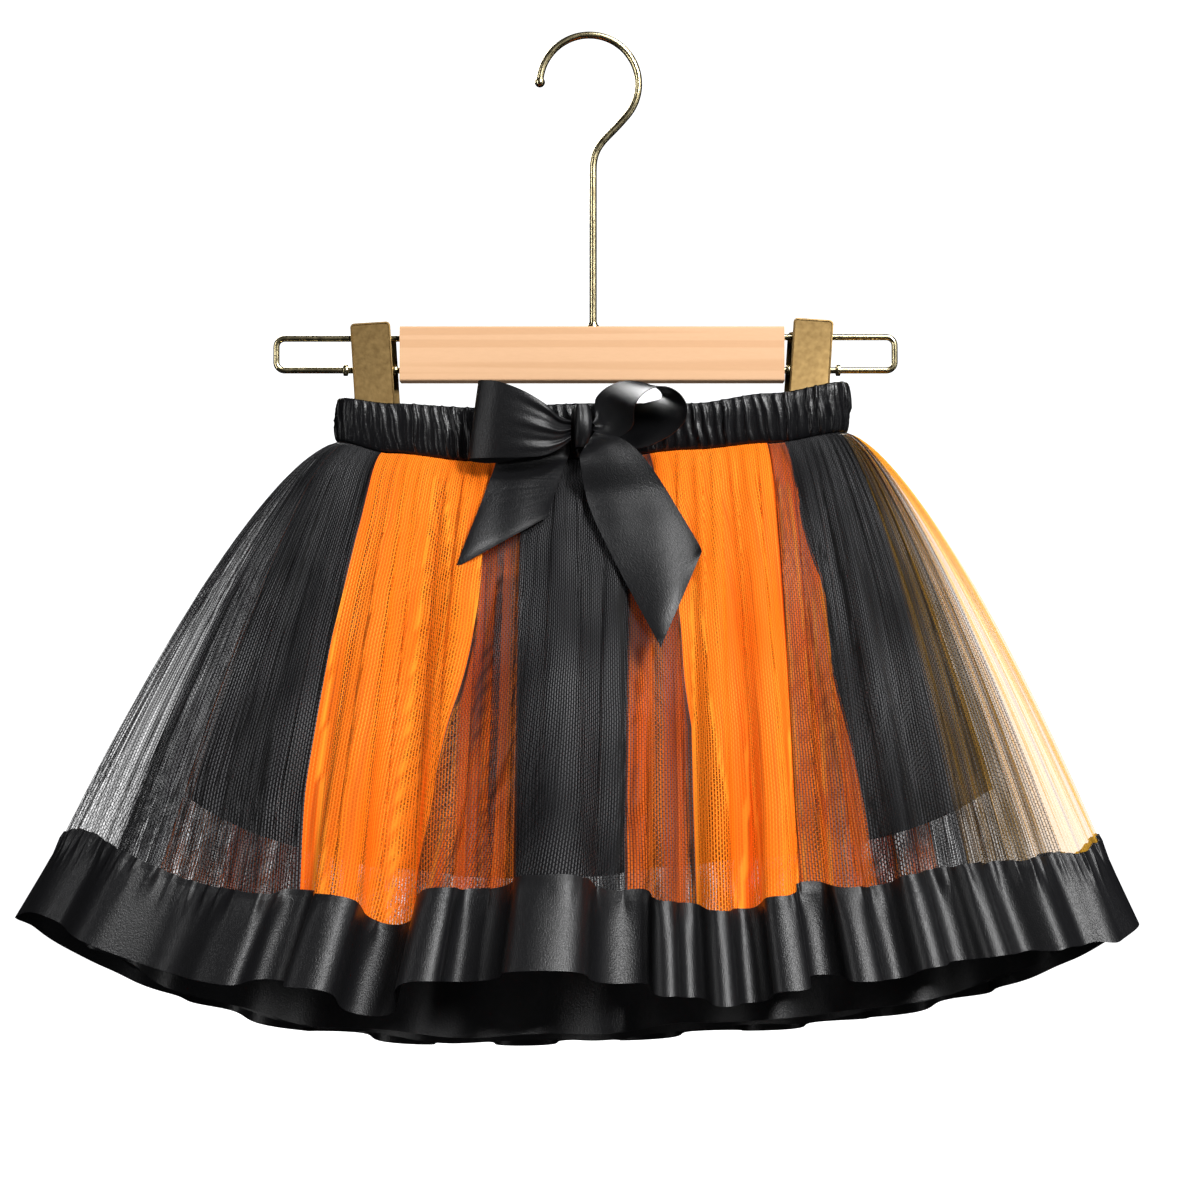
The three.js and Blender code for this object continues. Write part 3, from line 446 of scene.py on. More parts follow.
def waist_plan(angle, inset):
    """The waist seen from above, in by inset. Angle 0 is the centre front, 90 the right side."""
    half = BAND["half"] - inset
    depth = (BAND["back"] - BAND["front"]) / 2 - inset
    x = half * np.sin(angle * DEGREE)
    past = np.maximum(np.abs(x) - (half - depth), 0)
    reach = np.sqrt(np.maximum(depth**2 - past**2, 0))
    forward = np.where(np.cos(angle * DEGREE) >= 0, 1, -1)
    return x, (BAND["back"] + BAND["front"]) / 2 - forward * reach


def hem_plan(line, angle):
    cosine = np.cos(angle * DEGREE)
    depth = (line["back"] - line["front"]) / 2
    full = np.sign(cosine) * np.abs(cosine) ** ROUNDNESS
    x = line["centre_x"] + line["half"] * np.sin(angle * DEGREE)
    return x, (line["front"] + line["back"]) / 2 - depth * full


def hem_outward(line, angle):
    x = (line["back"] - line["front"]) / 2 * np.sin(angle * DEGREE)
    y = -line["half"] * np.cos(angle * DEGREE)
    return x / np.hypot(x, y), y / np.hypot(x, y)


def fold_stations():
    front = np.arcsin((FRONT_FOLDS["x"] - OUTER["centre_x"]) / OUTER["half"]) / DEGREE
    back = 180 - np.arcsin((BACK_FOLDS["x"] - OUTER["centre_x"]) / OUTER["half"]) / DEGREE
    return {
        "angle": np.concatenate([[-90], front, [90], back, [270]]),
        "out": np.concatenate([[2], FRONT_FOLDS["out"], [-2], BACK_FOLDS["out"], [2]]),
        "curl": np.concatenate([[0], FRONT_FOLDS["curl"], [0], BACK_FOLDS["curl"], [0]]),
        "lift": np.concatenate([[0], FRONT_FOLDS["lift"], [0], 0 * back, [0]]),
    }


STATIONS = fold_stations()


def station_before(stations, angle):
    """The station before an angle, and how far on the way to the next the angle is."""
    turned = (angle + 90) % 360 - 90
    places = stations["angle"]
    row = np.clip(np.searchsorted(places, turned, side="right") - 1, 0, len(places) - 2)
    return row, (turned - places[row]) / (places[row + 1] - places[row])


def eased_value(stations, name, angle):
    row, share = station_before(stations, angle)
    values = stations[name]
    return values[row] + (values[row + 1] - values[row]) * (0.5 - 0.5 * np.cos(np.pi * share))


def between_stations(stations, angle):
    """How far the cloth stands out at an angle, and how far its flank leans over."""
    row, share = station_before(stations, angle)
    curl = stations["curl"]
    lean = (curl[row] + (curl[row + 1] - curl[row]) * share) * np.sin(2 * np.pi * share)
    return eased_value(stations, "out", angle), lean


def main_fold(layer, angle):
    if layer is OUTER:
        return between_stations(STATIONS, angle)
    phase = layer["folds"] * angle * DEGREE + layer["uneven"] * np.sin(3 * angle * DEGREE)
    return layer["fold"] * np.sin(phase), 0 * angle


print("fold stations of the outer layer:", len(STATIONS["angle"]))

# %% [markdown]
# ## Fine gathers
#
# Net is shirred on a thread before it is sewn to the band, so hundreds of tiny folds start at the
# waist and run into a few soft ones below. Some lie over their neighbours, and there the net
# looks twice as dense. A row of ridges and hollows with seeded sizes makes these folds: out moves
# the cloth forward, and lean slides it sideways until a steep fold overlaps.

# %% Gathers with seeded sizes
def make_gathers(count, seed, lean):
    """Ridges and hollows all round, uneven in place and size. lean is 0.16 at an overlap."""
    dice = np.random.RandomState(seed)
    step = 360 / (2 * count)
    places = -90 + step * (np.arange(2 * count) + 0.6 * (dice.rand(2 * count) - 0.5))
    places[0] = -90
    sizes = 0.25 + 0.75 * dice.rand(2 * count)
    out = sizes * np.where(np.arange(2 * count) % 2 == 0, 1, -1)
    leans = lean * step * (0.2 + 0.8 * dice.rand(2 * count))
    return {"angle": np.append(places, 270), "out": np.append(out, out[0]),
            "curl": np.append(leans, leans[0])}


def fade(down, rows):
    """A value that changes down the cloth, from rows of how far down and how much."""
    places, values = np.array(rows, float).T
    return np.interp(down, places, values)


WIDE_LEAN = [(0, 0.0), (0.2, 0.9), (0.8, 1.0), (1, 0.5)]

# Gathers, how far they stand out in mm down the cloth, and how much they lean down the cloth.
OUTER_GATHERS = [
    (make_gathers(150, 3, 0.26), [(0, 0.5), (0.05, 1.3), (0.2, 1.1), (0.5, 0.35), (1, 0.35)],
     [(0, 0.5), (0.1, 1.0), (0.4, 0.6), (0.7, 0.1), (1, 0.0)]),
    (make_gathers(62, 11, 0.30), [(0, 0.0), (0.1, 1.1), (0.4, 2.0), (0.8, 1.6), (1, 1.0)],
     WIDE_LEAN),
]
INNER_GATHERS = [
    (make_gathers(120, 5, 0.2), [(0, 0.2), (0.06, 0.8), (0.2, 0.9), (0.5, 0.3), (1, 0.3)],
     [(0, 0.3), (0.1, 1.0), (0.4, 0.6), (0.7, 0.1), (1, 0.0)]),
    (make_gathers(50, 17, 0.27), [(0, 0.0), (0.1, 0.7), (0.4, 1.8), (0.8, 1.6), (1, 1.0)],
     WIDE_LEAN),
]
LINING_GATHERS = [
    (make_gathers(60, 23, 0.1), [(0, 0.1), (0.1, 0.3), (0.4, 0.3), (1, 0.2)],
     [(0, 0.2), (1, 0.2)]),
]


def gather(gathers, angle, down):
    """The angle that the cloth really comes from, and how far the gathers stand out."""
    out = 0 * angle
    leant = angle + 0
    for stations, heights, leans in gathers:
        ridge, lean = between_stations(stations, angle)
        out = out + ridge * fade(down, heights)
        leant = leant + lean * fade(down, leans)
    return leant, out


print("fine folds of the outer net:", sum(len(row[0]["angle"]) for row in OUTER_GATHERS) // 2)

# %% [markdown]
# Larger pleats are wedges of net folded over, which start somewhere below the waist and widen
# towards the hem. They are too thin to need a shape, so they only change how full the net looks:
# a number above 1 makes it denser and one below 1 opens it. Along their edges the net's colour
# gets a painted highlight on orange and painted shade on black. The front ones have known places.

# %% Long pleats
# How much fuller the net is in a pleat, and its two edges as rows of how far down and the angle.
FRONT_PLEATS = [
    (0.26, [(0.05, -20.5), (1, -21.3)], [(0.05, -18.5), (0.33, -16.8), (0.68, -18), (1, -20.3)]),
    (0.38, [(0.1, -13), (0.45, -13.4), (1, -18)], [(0.1, -9), (0.65, -8.9), (1, -9.1)]),
    (3.0, [(0.25, -10.9), (0.7, -12.4), (1, -15.3)], [(0.25, -10.5), (0.7, -11.9), (1, -14.8)]),
    (0.55, [(0.3, -10.3), (0.7, -11.8), (1, -14.7)], [(0.3, -9.9), (0.48, -10.8), (1, -11.8)]),
    (2.4, [(0.28, -9.8), (0.48, -10.7), (1, -11.7)], [(0.28, -8.8), (0.67, -8.9), (1, -11.2)]),
    (0.5, [(0.8, -9.4), (1, -11.1)], [(0.8, -9.2), (1, -9.1)]),
    (1.9, [(0.1, -8.8), (1, -9)], [(0.1, 3.4), (1, 3.9)]),
    (0.43, [(0.2, 4.2), (1, 4)], [(0.2, 9.6), (0.4, 10.8), (1, 12)]),
    (0.35, [(0.45, 6), (1, 5.6)], [(0.45, 8.2), (0.63, 6.4), (1, 6.0)]),
    (2.4, [(0.72, 7.4), (1, 6.1)], [(0.72, 7.6), (1, 8.5)]),
    (0.55, [(0, 24.8), (1, 24.8)], [(0, 27), (0.3, 32), (1, 35)]),
    (0.6, [(0, -131), (1, -131)], [(0, -80), (1, -64)]),
    (0.28, [(0.3, 12.2), (1, 12.3)], [(0.3, 12.4), (0.4, 13.2), (0.61, 14.5), (1, 17.1)]),
]
INNER_PLEATS = [
    (0.35, [(0, -27.5), (1, -27.5)], [(0, -13.5), (0.6, -16), (1, -20)]),
    (0.35, [(0, 9.5), (0.4, 12), (1, 12.5)], [(0, 25), (1, 25)]),
    (0.6, [(0.1, 27), (1, 28)], [(0.1, 28.5), (1, 30)]),
    (0.5, [(0.3, 32), (1, 32)], [(0.3, 33), (1, 34.5)]),
]


def make_pleats(count, seed, clear):
    """Pleats all round with seeded sizes, away from a clear range of angles."""
    dice = np.random.RandomState(seed)
    rows = []
    for step in range(count):
        middle = -90 + 360 * (step + 0.8 * dice.rand()) / count
        half = 0.3 + 1.6 * dice.rand() ** 1.6
        top = 0.7 * dice.rand()
        apex = middle + 5 * (dice.rand() - 0.5) * (1 - top)
        layers = 1.9 if dice.rand() < 0.55 else 0.55
        if not clear[0] < middle < clear[1]:
            rows.append((layers, [(top, apex), (1, middle - half)],
                         [(top, apex), (1, middle + half)]))
    return rows


PLEATS = {
    "outer": FRONT_PLEATS + make_pleats(84, 61, (-24, 18)),
    "inner": INNER_PLEATS + make_pleats(72, 67, (-28, 37)),
}
# Along these edges the net's colour has a painted highlight on orange and painted shade on black.
PLEAT_EDGE = 0.13    # degrees on each side of a pleat's edge where the turned cloth shows


def pleat_layers(pleats, angle, down):
    """How many times fuller the pleats make the net, and where their turned edges lie."""
    turned = (angle + 90) % 360 - 90
    layers = 1 + 0 * angle
    edges = 0 * angle
    for many, first_rows, last_rows in pleats:
        first, last = fade(down, first_rows), fade(down, last_rows)
        started = down > first_rows[0][0]
        layers = layers * np.where(started & (turned > first) & (turned < last), many, 1)
        nearest = np.minimum(np.abs(turned - first), np.abs(turned - last))
        edges = np.where(started & (nearest < PLEAT_EDGE), 1, edges)
    return layers * (1 + 0.7 * edges), edges


print("pleats:", {name: len(rows) for name, rows in PLEATS.items()})

# %% A point of a layer and of its ribbon
def layer_drop(layer, angle):
    """How far below the waist seam the layer's lower edge hangs."""
    hem_x, hem_y = hem_plan(layer, angle)
    waist_x, waist_y = waist_plan(angle + SIDE_TURN * np.sin(2 * angle * DEGREE), layer["inset"])
    slant = layer["length"] - SIDE_LIFT * np.abs(np.sin(angle * DEGREE)) ** 4
    if layer is OUTER:
        slant = slant - eased_value(STATIONS, "lift", angle)
    return np.sqrt(slant**2 - (hem_x - waist_x) ** 2 - (hem_y - waist_y) ** 2)


def move_out(place, line, angle, out, lean):
    """Moves plan points out of a line and sideways along it."""
    away_x, away_y = hem_outward(line, angle)
    return place[0] + away_x * out - away_y * lean, place[1] + away_y * out + away_x * lean


def layer_points(layer, gathers, angle, down, proud=0.0):
    """Points of a layer, from the waist seam, down 0, to its edge, down 1."""
    cloth, fine = gather(gathers, angle, down)
    waist_x, waist_y = waist_plan(cloth + SIDE_TURN * np.sin(2 * cloth * DEGREE), layer["inset"])
    hem_x, hem_y = hem_plan(layer, cloth)
    run = down**SPREAD
    place = waist_x + (hem_x - waist_x) * run, waist_y + (hem_y - waist_y) * run
    out, lean = main_fold(layer, cloth)
    growth = down**FOLD_GROWTH
    x, y = move_out(place, layer, cloth, out * growth + fine + proud, lean * growth)
    start = along_table(BAND_EDGES, waist_x, "bottom") - layer["below"]
    return np.stack([x, y, start - layer_drop(layer, cloth) * down], -1)


def ribbon_points(layer, line, gathers, angle, down, proud=0.0):
    """Points of a hem ribbon, from the net's edge, down 0, to its free edge, down 1."""
    seam = layer_points(layer, [], angle, 1 + 0 * angle, proud)
    gathered = layer_points(layer, gathers, angle, 1 + 0 * angle, proud) - seam
    out, lean = main_fold(layer, angle)
    free_x, free_y = hem_plan(line, angle)
    free = move_out((free_x, free_y), line, angle, (out + proud) * line["flare"],
                    lean * line["flare"])
    seam_x, seam_y = hem_plan(layer, angle)
    run = np.hypot(free_x - seam_x, free_y - seam_y)
    free_z = seam[..., 2] - np.sqrt(line["width"] ** 2 - run**2)
    edge = np.stack([free[0], free[1], free_z], -1)
    sewn = np.clip(1 - down / 0.3, 0, 1) ** 1.5
    return seam + (edge - seam) * down[..., None] + gathered * sewn[..., None]


print("outer layer drops", round(float(layer_drop(OUTER, 0.0))), "mm at the front")

# %% [markdown]
# ## Cloth from grids
#
# create_grid makes a flat sheet with even faces, and every vertex is then moved onto the cloth's
# surface. The sheet keeps its flat place as a UV map in metres, so threads and stitches have their
# real size. Where it is gathered, real cloth lies in several layers on a short stretch. The
# attribute "fullness" holds how many, and the net's material uses it to look that much thicker and
# to paint shade into the crowded gathers. "turned_edge" marks the edges of pleats, where orange
# net gets a painted highlight and black net painted shade, and "evenness" a panel whose net is
# spread out flat, where it is made paler by painted light shining through it.

# %% Lay a grid on a surface
CROWD_SPAN = 9           # a fold is compared with this many grid columns on each side of it
CROWDS = (0.75, 2.2)     # the least and the most layers that small folds make of one
CLOTH_WALL = 0.3 * MM


def lay_flat(points, across, down, flat):
    """The flat place of each vertex, and how many layers of cloth lie there."""
    order = np.lexsort((across, down))
    columns = len(np.unique(np.round(across, 6)))
    grid = points[order].reshape(-1, columns, 3) * MM
    steps = np.linalg.norm(np.diff(grid, axis=1), axis=2)
    walked = np.concatenate([np.zeros((len(grid), 1)), np.cumsum(steps, axis=1)], axis=1)
    length = walked[:, -1:]
    falls = np.linalg.norm(np.diff(grid, axis=0), axis=2).mean(1)
    fallen = np.concatenate([[0], np.cumsum(falls)]) / falls.sum()
    index = np.arange(columns)
    before = np.maximum(index - CROWD_SPAN, 0)
    after = np.minimum(index + CROWD_SPAN, columns - 1)
    reach = np.linalg.norm(grid[:, after] - grid[:, before], axis=2)
    crowd = np.gradient(walked, axis=1) * (after - before) / np.maximum(reach, 1e-6)
    layers = np.clip(flat[0] / length, 1, 4) * np.clip(crowd, *CROWDS)
    place = np.empty((len(points), 2))
    place[order, 0] = ((walked / length - 0.5) * flat[0]).ravel()
    place[order, 1] = np.repeat((0.5 - fallen) * flat[1], columns)
    fullness = np.empty(len(points))
    fullness[order] = layers.ravel()
    return place, fullness


def make_sheet(name, columns, rows, place, flat, ring=False, layers=None):
    """A grid laid on cloth by place(across, down). flat is the cut's size in metres."""
    bm = bmesh.new()
    cloth_map = bm.loops.layers.uv.new("cloth")
    fullness_of = bm.verts.layers.float.new("fullness")
    edge_of = bm.verts.layers.float.new("turned_edge")
    evenness_of = bm.verts.layers.float.new("evenness")
    bmesh.ops.create_grid(bm, x_segments=columns, y_segments=rows, size=0.5)
    bm.verts.index_update()
    corners = np.array([vert.co for vert in bm.verts])
    across, down = corners[:, 0] + 0.5, 0.5 - corners[:, 1]
    points = place(across, down)
    flat_place, fullness = lay_flat(points, across, down, flat)
    edges, evenness = 0 * fullness, 0.0
    if layers:
        fullness, edges, evenness = layers(across, down, fullness)
    for face in bm.faces:
        for loop in face.loops:
            loop[cloth_map].uv = flat_place[loop.vert.index]
    for vert, point, many, edge in zip(bm.verts, (points + SHIFT) * MM, fullness, edges):
        vert.co = point
        vert[fullness_of] = many
        vert[edge_of] = edge
        vert[evenness_of] = evenness
    if ring:
        bmesh.ops.remove_doubles(bm, verts=bm.verts, dist=1e-6)
    for edge in bm.edges:
        edge.smooth = not edge.is_boundary
    return finish_mesh(bm, name)


def cloth_area(piece):
    return sum(polygon.area for polygon in piece.data.polygons)


def give_thickness(piece, offset=-1.0):
    wall = piece.modifiers.new("thickness", "SOLIDIFY")
    wall.thickness = CLOTH_WALL
    wall.offset = offset


def dress(piece, material, slot_name, *nodes):
    """Gives a piece its material, hangs it on the root body, and hides the solids that it stands
    for.
    """
    piece.data.materials.append(material)
    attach(piece, "root")
    if nodes:
        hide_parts(*nodes)
    return piece


def declare(piece, flat, held, rests_on, faces=1, **more):
    """Prints a sheet's name, its cut size, and how its area compares with the cut's. held is not
    used.
    """
    area = faces * more.get("area", flat[0] * flat[1])
    print(piece.name, [round(size, 3) for size in flat], round(cloth_area(piece) / area, 2))


print("sheets are grids with a UV map in metres")

# %% [markdown]
# ## Net panels
#
# Each layer is a tube of upright panels, black and orange in turn. A panel is as long as the
# layer and much wider than the stretch of waistband that it is gathered into. Neighbours overlap
# by a millimetre at their seam, where the doubled net shows as a thin darker line.

# %% Panels of both layers
PANELS = {  # name that starts with its colour, first and last angle, how full the net is
    "outer": [
        ("black_left", -132, -32, 1.0), ("orange_front_left", -32, -17.8, 1.3),
        ("black_front", -17.8, 11.4, 1.0), ("orange_front_right", 11.4, 24.6, 1.3),
        ("black_right", 24.6, 66, 0.8), ("orange_right", 66, 112, 0.56),
        ("black_back_right", 112, 140, 1.0), ("orange_back_right", 140, 162, 1.2),
        ("black_back", 162, 198, 1.0), ("orange_back_left", 198, 228, 1.2)],
    "inner": [
        ("black_left", -112, -27, 1.0), ("orange_front_left", -27, -8, 2.2),
        ("black_front", -8, 5.5, 2.5), ("orange_front_right", 5.5, 36, 2.2),
        ("black_right", 36, 55, 1.0), ("orange_right", 55, 104, 0.42),
        ("black_back_right", 104, 128, 1.0), ("orange_back_right", 128, 170, 1.2),
        ("black_back", 170, 206, 1.0), ("orange_back_left", 206, 248, 1.2)],
}
# A seam that wanders: how many degrees it lies off its angle, by how far down the cloth it is.
WANDERS = {
    -32: [(0, -0.8), (0.16, 0), (0.45, -0.6), (0.75, -0.6), (1, 0)],
    -17.8: [(0, 5.9), (0.43, 4.4), (0.7, 2.3), (1, -0.3)],
    11.4: [(0, -4.4), (0.38, -0.6), (0.62, 0.5), (1, 0.6)],
    36: [(0, -7), (0.3, -3), (1, 3)],
}
SEAM_DEGREES = 0.12  # how far neighbours overlap
SEAM_WIDTH = 0.25    # degrees of a panel's side that are stitched
SEAM_LAYERS = 2.2    # how full the stitched net is
SPREAD_FLAT = 0.7    # a panel less full than this is spread out flat, without pleats
FLAT_EVENNESS = 0.85
ROWS_CLOSER = 1.35   # rows of the grid lie closer together near the waist
GORE_TOP = 0.62      # a panel is a gore, whose top edge is this share of its hem
LAYERS = {"outer": (OUTER, OUTER_GATHERS, 4.6, 44), "inner": (INNER, INNER_GATHERS, 3.0, 32)}
NET_FINISH = {"black": (net_black, "net_black", 0.12), "orange": (net_orange, "net_orange", 0.0)}


def edge_length(points):
    return float(np.linalg.norm(np.diff(points, axis=0), axis=1).sum()) * MM


def gore_area(flat):
    return flat[0] * flat[1] * (1 + GORE_TOP) / 2


def make_panel(which, panel):
    layer, gathers, columns_per_degree, rows = LAYERS[which]
    short_name, first, last, many = panel
    name = f"{which}_net_{short_name}"
    material, slot_name, proud = NET_FINISH[short_name.split("_")[0]]

    def seam(angle, down):
        return angle + fade(down, WANDERS.get(angle, [(0, 0), (1, 0)]))

    def angle_of(across, down):
        start, end = seam(first, down) - SEAM_DEGREES, seam(last, down) + SEAM_DEGREES
        return start + (end - start) * across

    def place(across, down):
        down = down**ROWS_CLOSER
        return layer_points(layer, gathers, angle_of(across, down), down, proud)

    def layers(across, down, fullness):
        if many < SPREAD_FLAT:
            return many * (1 + 0.15 * (fullness - 1)), 0 * fullness, FLAT_EVENNESS
        down = down**ROWS_CLOSER
        at_seam = np.minimum(across, 1 - across) * (last - first) < SEAM_WIDTH
        stitched = np.where(at_seam, SEAM_LAYERS, 1)
        pleated, edges = pleat_layers(PLEATS[which], angle_of(across, down), down)
        return fullness * many * stitched * pleated, edges, 0.0

    hem = np.linspace(0, 1, 1200)
    flat = (edge_length(place(hem, np.ones(1200))), layer["length"] * MM)
    columns = round(columns_per_degree * (last - first))
    piece = make_sheet(f"{name}_cloth", columns, rows, place, flat, layers=layers)
    dress(piece, material, slot_name, name)
    declare(piece, flat, "gathered", ["waistband"], area=gore_area(flat))


for which, panels in PANELS.items():
    for panel in panels:
        make_panel(which, panel)

# %% [markdown]
# ## Hem ribbons
#
# A satin ribbon is shirred along its top edge and sewn over each layer's raw edge. It is nearly
# vertical and stiffer than the net, so it holds the wave of the large folds and carries short
# puckers under its stitches. The grid runs all round as a ring, and Solidify gives it thickness.

# %% Both hem ribbons
SEW_OVER = 2.4       # how far the ribbon reaches over the net's edge
RIBBON_PROUD = 0.9   # how far it lies in front of the net
PUCKER_SIZE = 1.5
PUCKERS = {"outer": make_gathers(128, 31, 0.16), "inner": make_gathers(90, 37, 0.12)}
SOFT_FOLDS = {"outer": make_gathers(21, 41, 0.12), "inner": make_gathers(17, 43, 0.1)}


def make_hem_ribbon(which, line, columns, rows):
    layer, gathers = LAYERS[which][:2]

    def place(across, down):
        angle = -90 + 360 * across
        drop = down * (1 + SEW_OVER / line["width"]) - SEW_OVER / line["width"]
        points = ribbon_points(layer, line, gathers, angle, drop, proud=RIBBON_PROUD)
        pucker, _ = between_stations(PUCKERS[which], angle)
        soft, _ = between_stations(SOFT_FOLDS[which], angle)
        raised = np.maximum(pucker, 0) * PUCKER_SIZE
        out = raised * fade(down, [(0, 0.3), (0.08, 0.9), (0.25, 0.4), (0.45, 0.05), (1, 0.0)])
        out = out + soft * fade(down, [(0, 0.1), (0.5, 0.9), (1, 1.7)])
        away_x, away_y = hem_outward(line, angle)
        points[:, 0] += away_x * out
        points[:, 1] += away_y * out
        points[:, 2] += pucker * fade(down, [(0, 0.35), (0.2, 0), (1, 0)])
        return points

    around = np.linspace(0, 1, 4000)
    flat = (edge_length(place(around, np.ones(4000))), (line["width"] + SEW_OVER) * MM)
    name = f"hem_ribbon_{which}"
    piece = make_sheet(f"{name}_cloth", columns, rows, place, flat, ring=True)
    give_thickness(piece)
    dress(piece, satin_black, "satin_black", name)
    declare(piece, flat, "gathered", [f"{which}_net_black_front_cloth"])


make_hem_ribbon("outer", OUTER_HEM, 1500, 14)
make_hem_ribbon("inner", INNER_HEM, 960, 10)

# %% [markdown]
# ## Lining
#
# A short black slip hangs inside from the same waist seam. It is opaque and dull, so the net in
# front of it looks dense and the net beside it looks sheer.

# %% The lining
LINING_REACH = 1.06  # how much longer the slip hangs than its solid


def make_lining():
    def place(across, down):
        return layer_points(LINING, LINING_GATHERS, -90 + 360 * across, down * LINING_REACH)

    around = np.linspace(0, 1, 2000)
    flat = (edge_length(place(around, np.ones(2000))), LINING["length"] * LINING_REACH * MM)
    piece = make_sheet("lining_cloth", 480, 26, place, flat, ring=True)
    give_thickness(piece)
    dress(piece, lining_black, "lining_black", "lining")
    declare(piece, flat, "gathered", ["waistband"], area=gore_area(flat))


make_lining()

# %% [markdown]
# ## Waistband
#
# The band is a satin casing round wide elastic. The elastic pulls the satin into narrow ridges
# that slant a little and catch the light along their crests. Its section is a flat rounded slot.
# The clips press the back of it smooth.

# %% The gathered casing
RUFFLES = make_gathers(104, 53, 0.16)
SLANTS = make_gathers(17, 59, 0.0)
BAND_COLUMNS = 1400
BAND_ROWS = 28
BAND_FULLNESS = 1.25     # the casing's length for each length of the stretched elastic
BAND_FLAT = 28           # height of one face, laid flat
CREST_SHARPNESS = 4.5
CREST_HEIGHT = 2.2


def band_angles():
    """Angles at even steps of length round the waist, and that length in mm."""
    angle = np.linspace(-90, 270, 7201)
    x, y = waist_plan(angle, 0)
    length = np.concatenate([[0], np.cumsum(np.hypot(np.diff(x), np.diff(y)))])
    return length / length[-1], angle, length[-1]


BAND_SHARES, BAND_TURNS, BAND_LENGTH = band_angles()


def band_place(across, down):
    """across goes round the waist, and down once round the casing's section from its top."""
    turn = 2 * np.pi * down
    face, height = np.sin(turn), np.cos(turn)
    depth = np.sign(face) * np.abs(face) ** 0.5
    lift = np.sign(height) * np.abs(height) ** 0.75
    angle = np.interp(across, BAND_SHARES, BAND_TURNS)
    slant, _ = between_stations(SLANTS, -90 + 360 * across)
    wave = -90 + 360 * across + lift * (1.1 + 0.9 * slant) + 0.35 * np.sin(5 * lift + 40 * across)
    ridge, lean = between_stations(RUFFLES, wave)
    crest = (0.5 + 0.5 * ridge) ** CREST_SHARPNESS
    x, y = waist_plan(angle, 0)
    at_clip = np.clip(1.4 - np.abs(np.abs(x) - BAND["clip_x"]) / BAND["clip_reach"], 0, 1)
    free = 1 - np.where(angle > 90, at_clip, 0)
    away_x, away_y = waist_plan(angle + 0.5, 0)
    back_x, back_y = waist_plan(angle - 0.5, 0)
    along_x, along_y = away_x - back_x, away_y - back_y
    size = np.hypot(along_x, along_y)
    out = (depth - 1) * BAND["wall"] / 2
    out = out + np.clip(depth, 0, 1) * free * crest * (CREST_HEIGHT - 0.7 * lift**2)
    slide = lean * 1.5 * free * np.clip(depth, 0, 1)
    top, bottom = along_table(BAND_EDGES, x, "top"), along_table(BAND_EDGES, x, "bottom")
    z = (top + bottom) / 2 + lift * ((top - bottom) / 2 + 0.5 * crest * free)
    return np.stack([x + (along_y * out + along_x * slide) / size,
                     y + (-along_x * out + along_y * slide) / size, z], -1)


def make_waistband():
    flat = (BAND_LENGTH * BAND_FULLNESS * MM, BAND_FLAT * MM)
    piece = make_sheet("waistband_casing", BAND_COLUMNS, BAND_ROWS, band_place,
                       (flat[0], 2 * flat[1]), ring=True)
    dress(piece, satin_tight, "satin_black", "waistband")
    declare(piece, flat, "gathered", ["clip_left_back", "clip_right_back"], faces=2)


make_waistband()

# %% [markdown]
# ## Bow
#
# The bow is one kind of satin ribbon, about 37 mm wide. The left loop lies flat with its back
# layer peeping out below, the right loop stands open like a tube, the knot is a short wrap with
# two deep folds, and two tails are cut on the slant. A few sections set each piece, a smooth curve
# runs through them, and ripples gather the ribbon towards the knot.

# %% Sections of the bow
KNOT = {"x": -5, "z": -190.5, "width": 10, "height": 20, "front": -36, "back": -17.6,
        "around": 52}
LOOP_LEFT = [  # x, y, z of the ribbon's middle, half its height, lean of its top to the right
    (-9.8, -31, -192.5, 4.5, 0), (-15, -35, -194, 7.4, 0), (-22, -38.5, -193, 12, 0.4),
    (-33, -39.5, -190.4, 15.6, 1), (-45, -38, -188.2, 17.8, 1.6), (-53, -34, -187.6, 18.3, 2.2),
    (-55.5, -30.5, -187.6, 18.3, 2.4), (-53, -28.4, -189, 18.2, 2.2),
    (-45, -27.6, -190.6, 17, 1.6), (-33, -27, -191.6, 14, 1), (-22, -26.4, -192.2, 10, 0.4),
    (-15, -26.2, -192.2, 6.6, 0), (-9.8, -26.2, -192, 4.4, 0)]
LOOP_RIGHT = [  # x, y, z of the ribbon's far edge, x, y, z of its near edge
    (0.2, -29, -186.5, 0, -33, -194.5), (0.9, -25, -181, 10, -37, -197.5),
    (2.2, -22.3, -176, 18.5, -45, -192.5), (7.5, -21.3, -171, 19.6, -50, -184.5),
    (15.5, -21.3, -168.3, 22.5, -53, -179), (24, -21.3, -169, 28, -54, -175.4),
    (30.5, -21.6, -171.6, 34.5, -54, -174.8), (33, -22, -174.6, 40.5, -53.5, -178),
    (32, -22.3, -177, 43.8, -52.5, -184), (26.5, -22.3, -178.5, 42, -49, -191.5),
    (17, -22.3, -181, 33, -43, -198), (8, -22.5, -185, 19, -34, -201.5),
    (0.2, -25, -188, 0.2, -28, -196.5)]
TAIL_LEFT = [  # x and z of the left edge, x and z of the right edge, y
    (-10.8, -193.0, -10.6, -199.6, -23.6), (-26.5, -196.6, -10.6, -202.8, -23.6),
    (-40.0, -202.2, -11.9, -206.6, -23.6), (-45.2, -209.4, -14.2, -213.5, -23.6),
    (-52.6, -231.0, -17.0, -222.7, -23.6), (-62.3, -258.3, -20.3, -234.2, -23.6)]
TAIL_RIGHT = [
    (-4, -202, 0.8, -194.5, -34.6), (-5.5, -205.5, 13, -197, -41.5), (-5, -211, 23, -205, -43),
    (-3.2, -222, 32.8, -218.5, -42), (1.4, -236, 40.6, -232, -40), (14, -262.5, 49, -247, -39),
    (31.2, -295, 50.4, -251, -38.5)]
RIBBON_WIDTH = 37 * MM


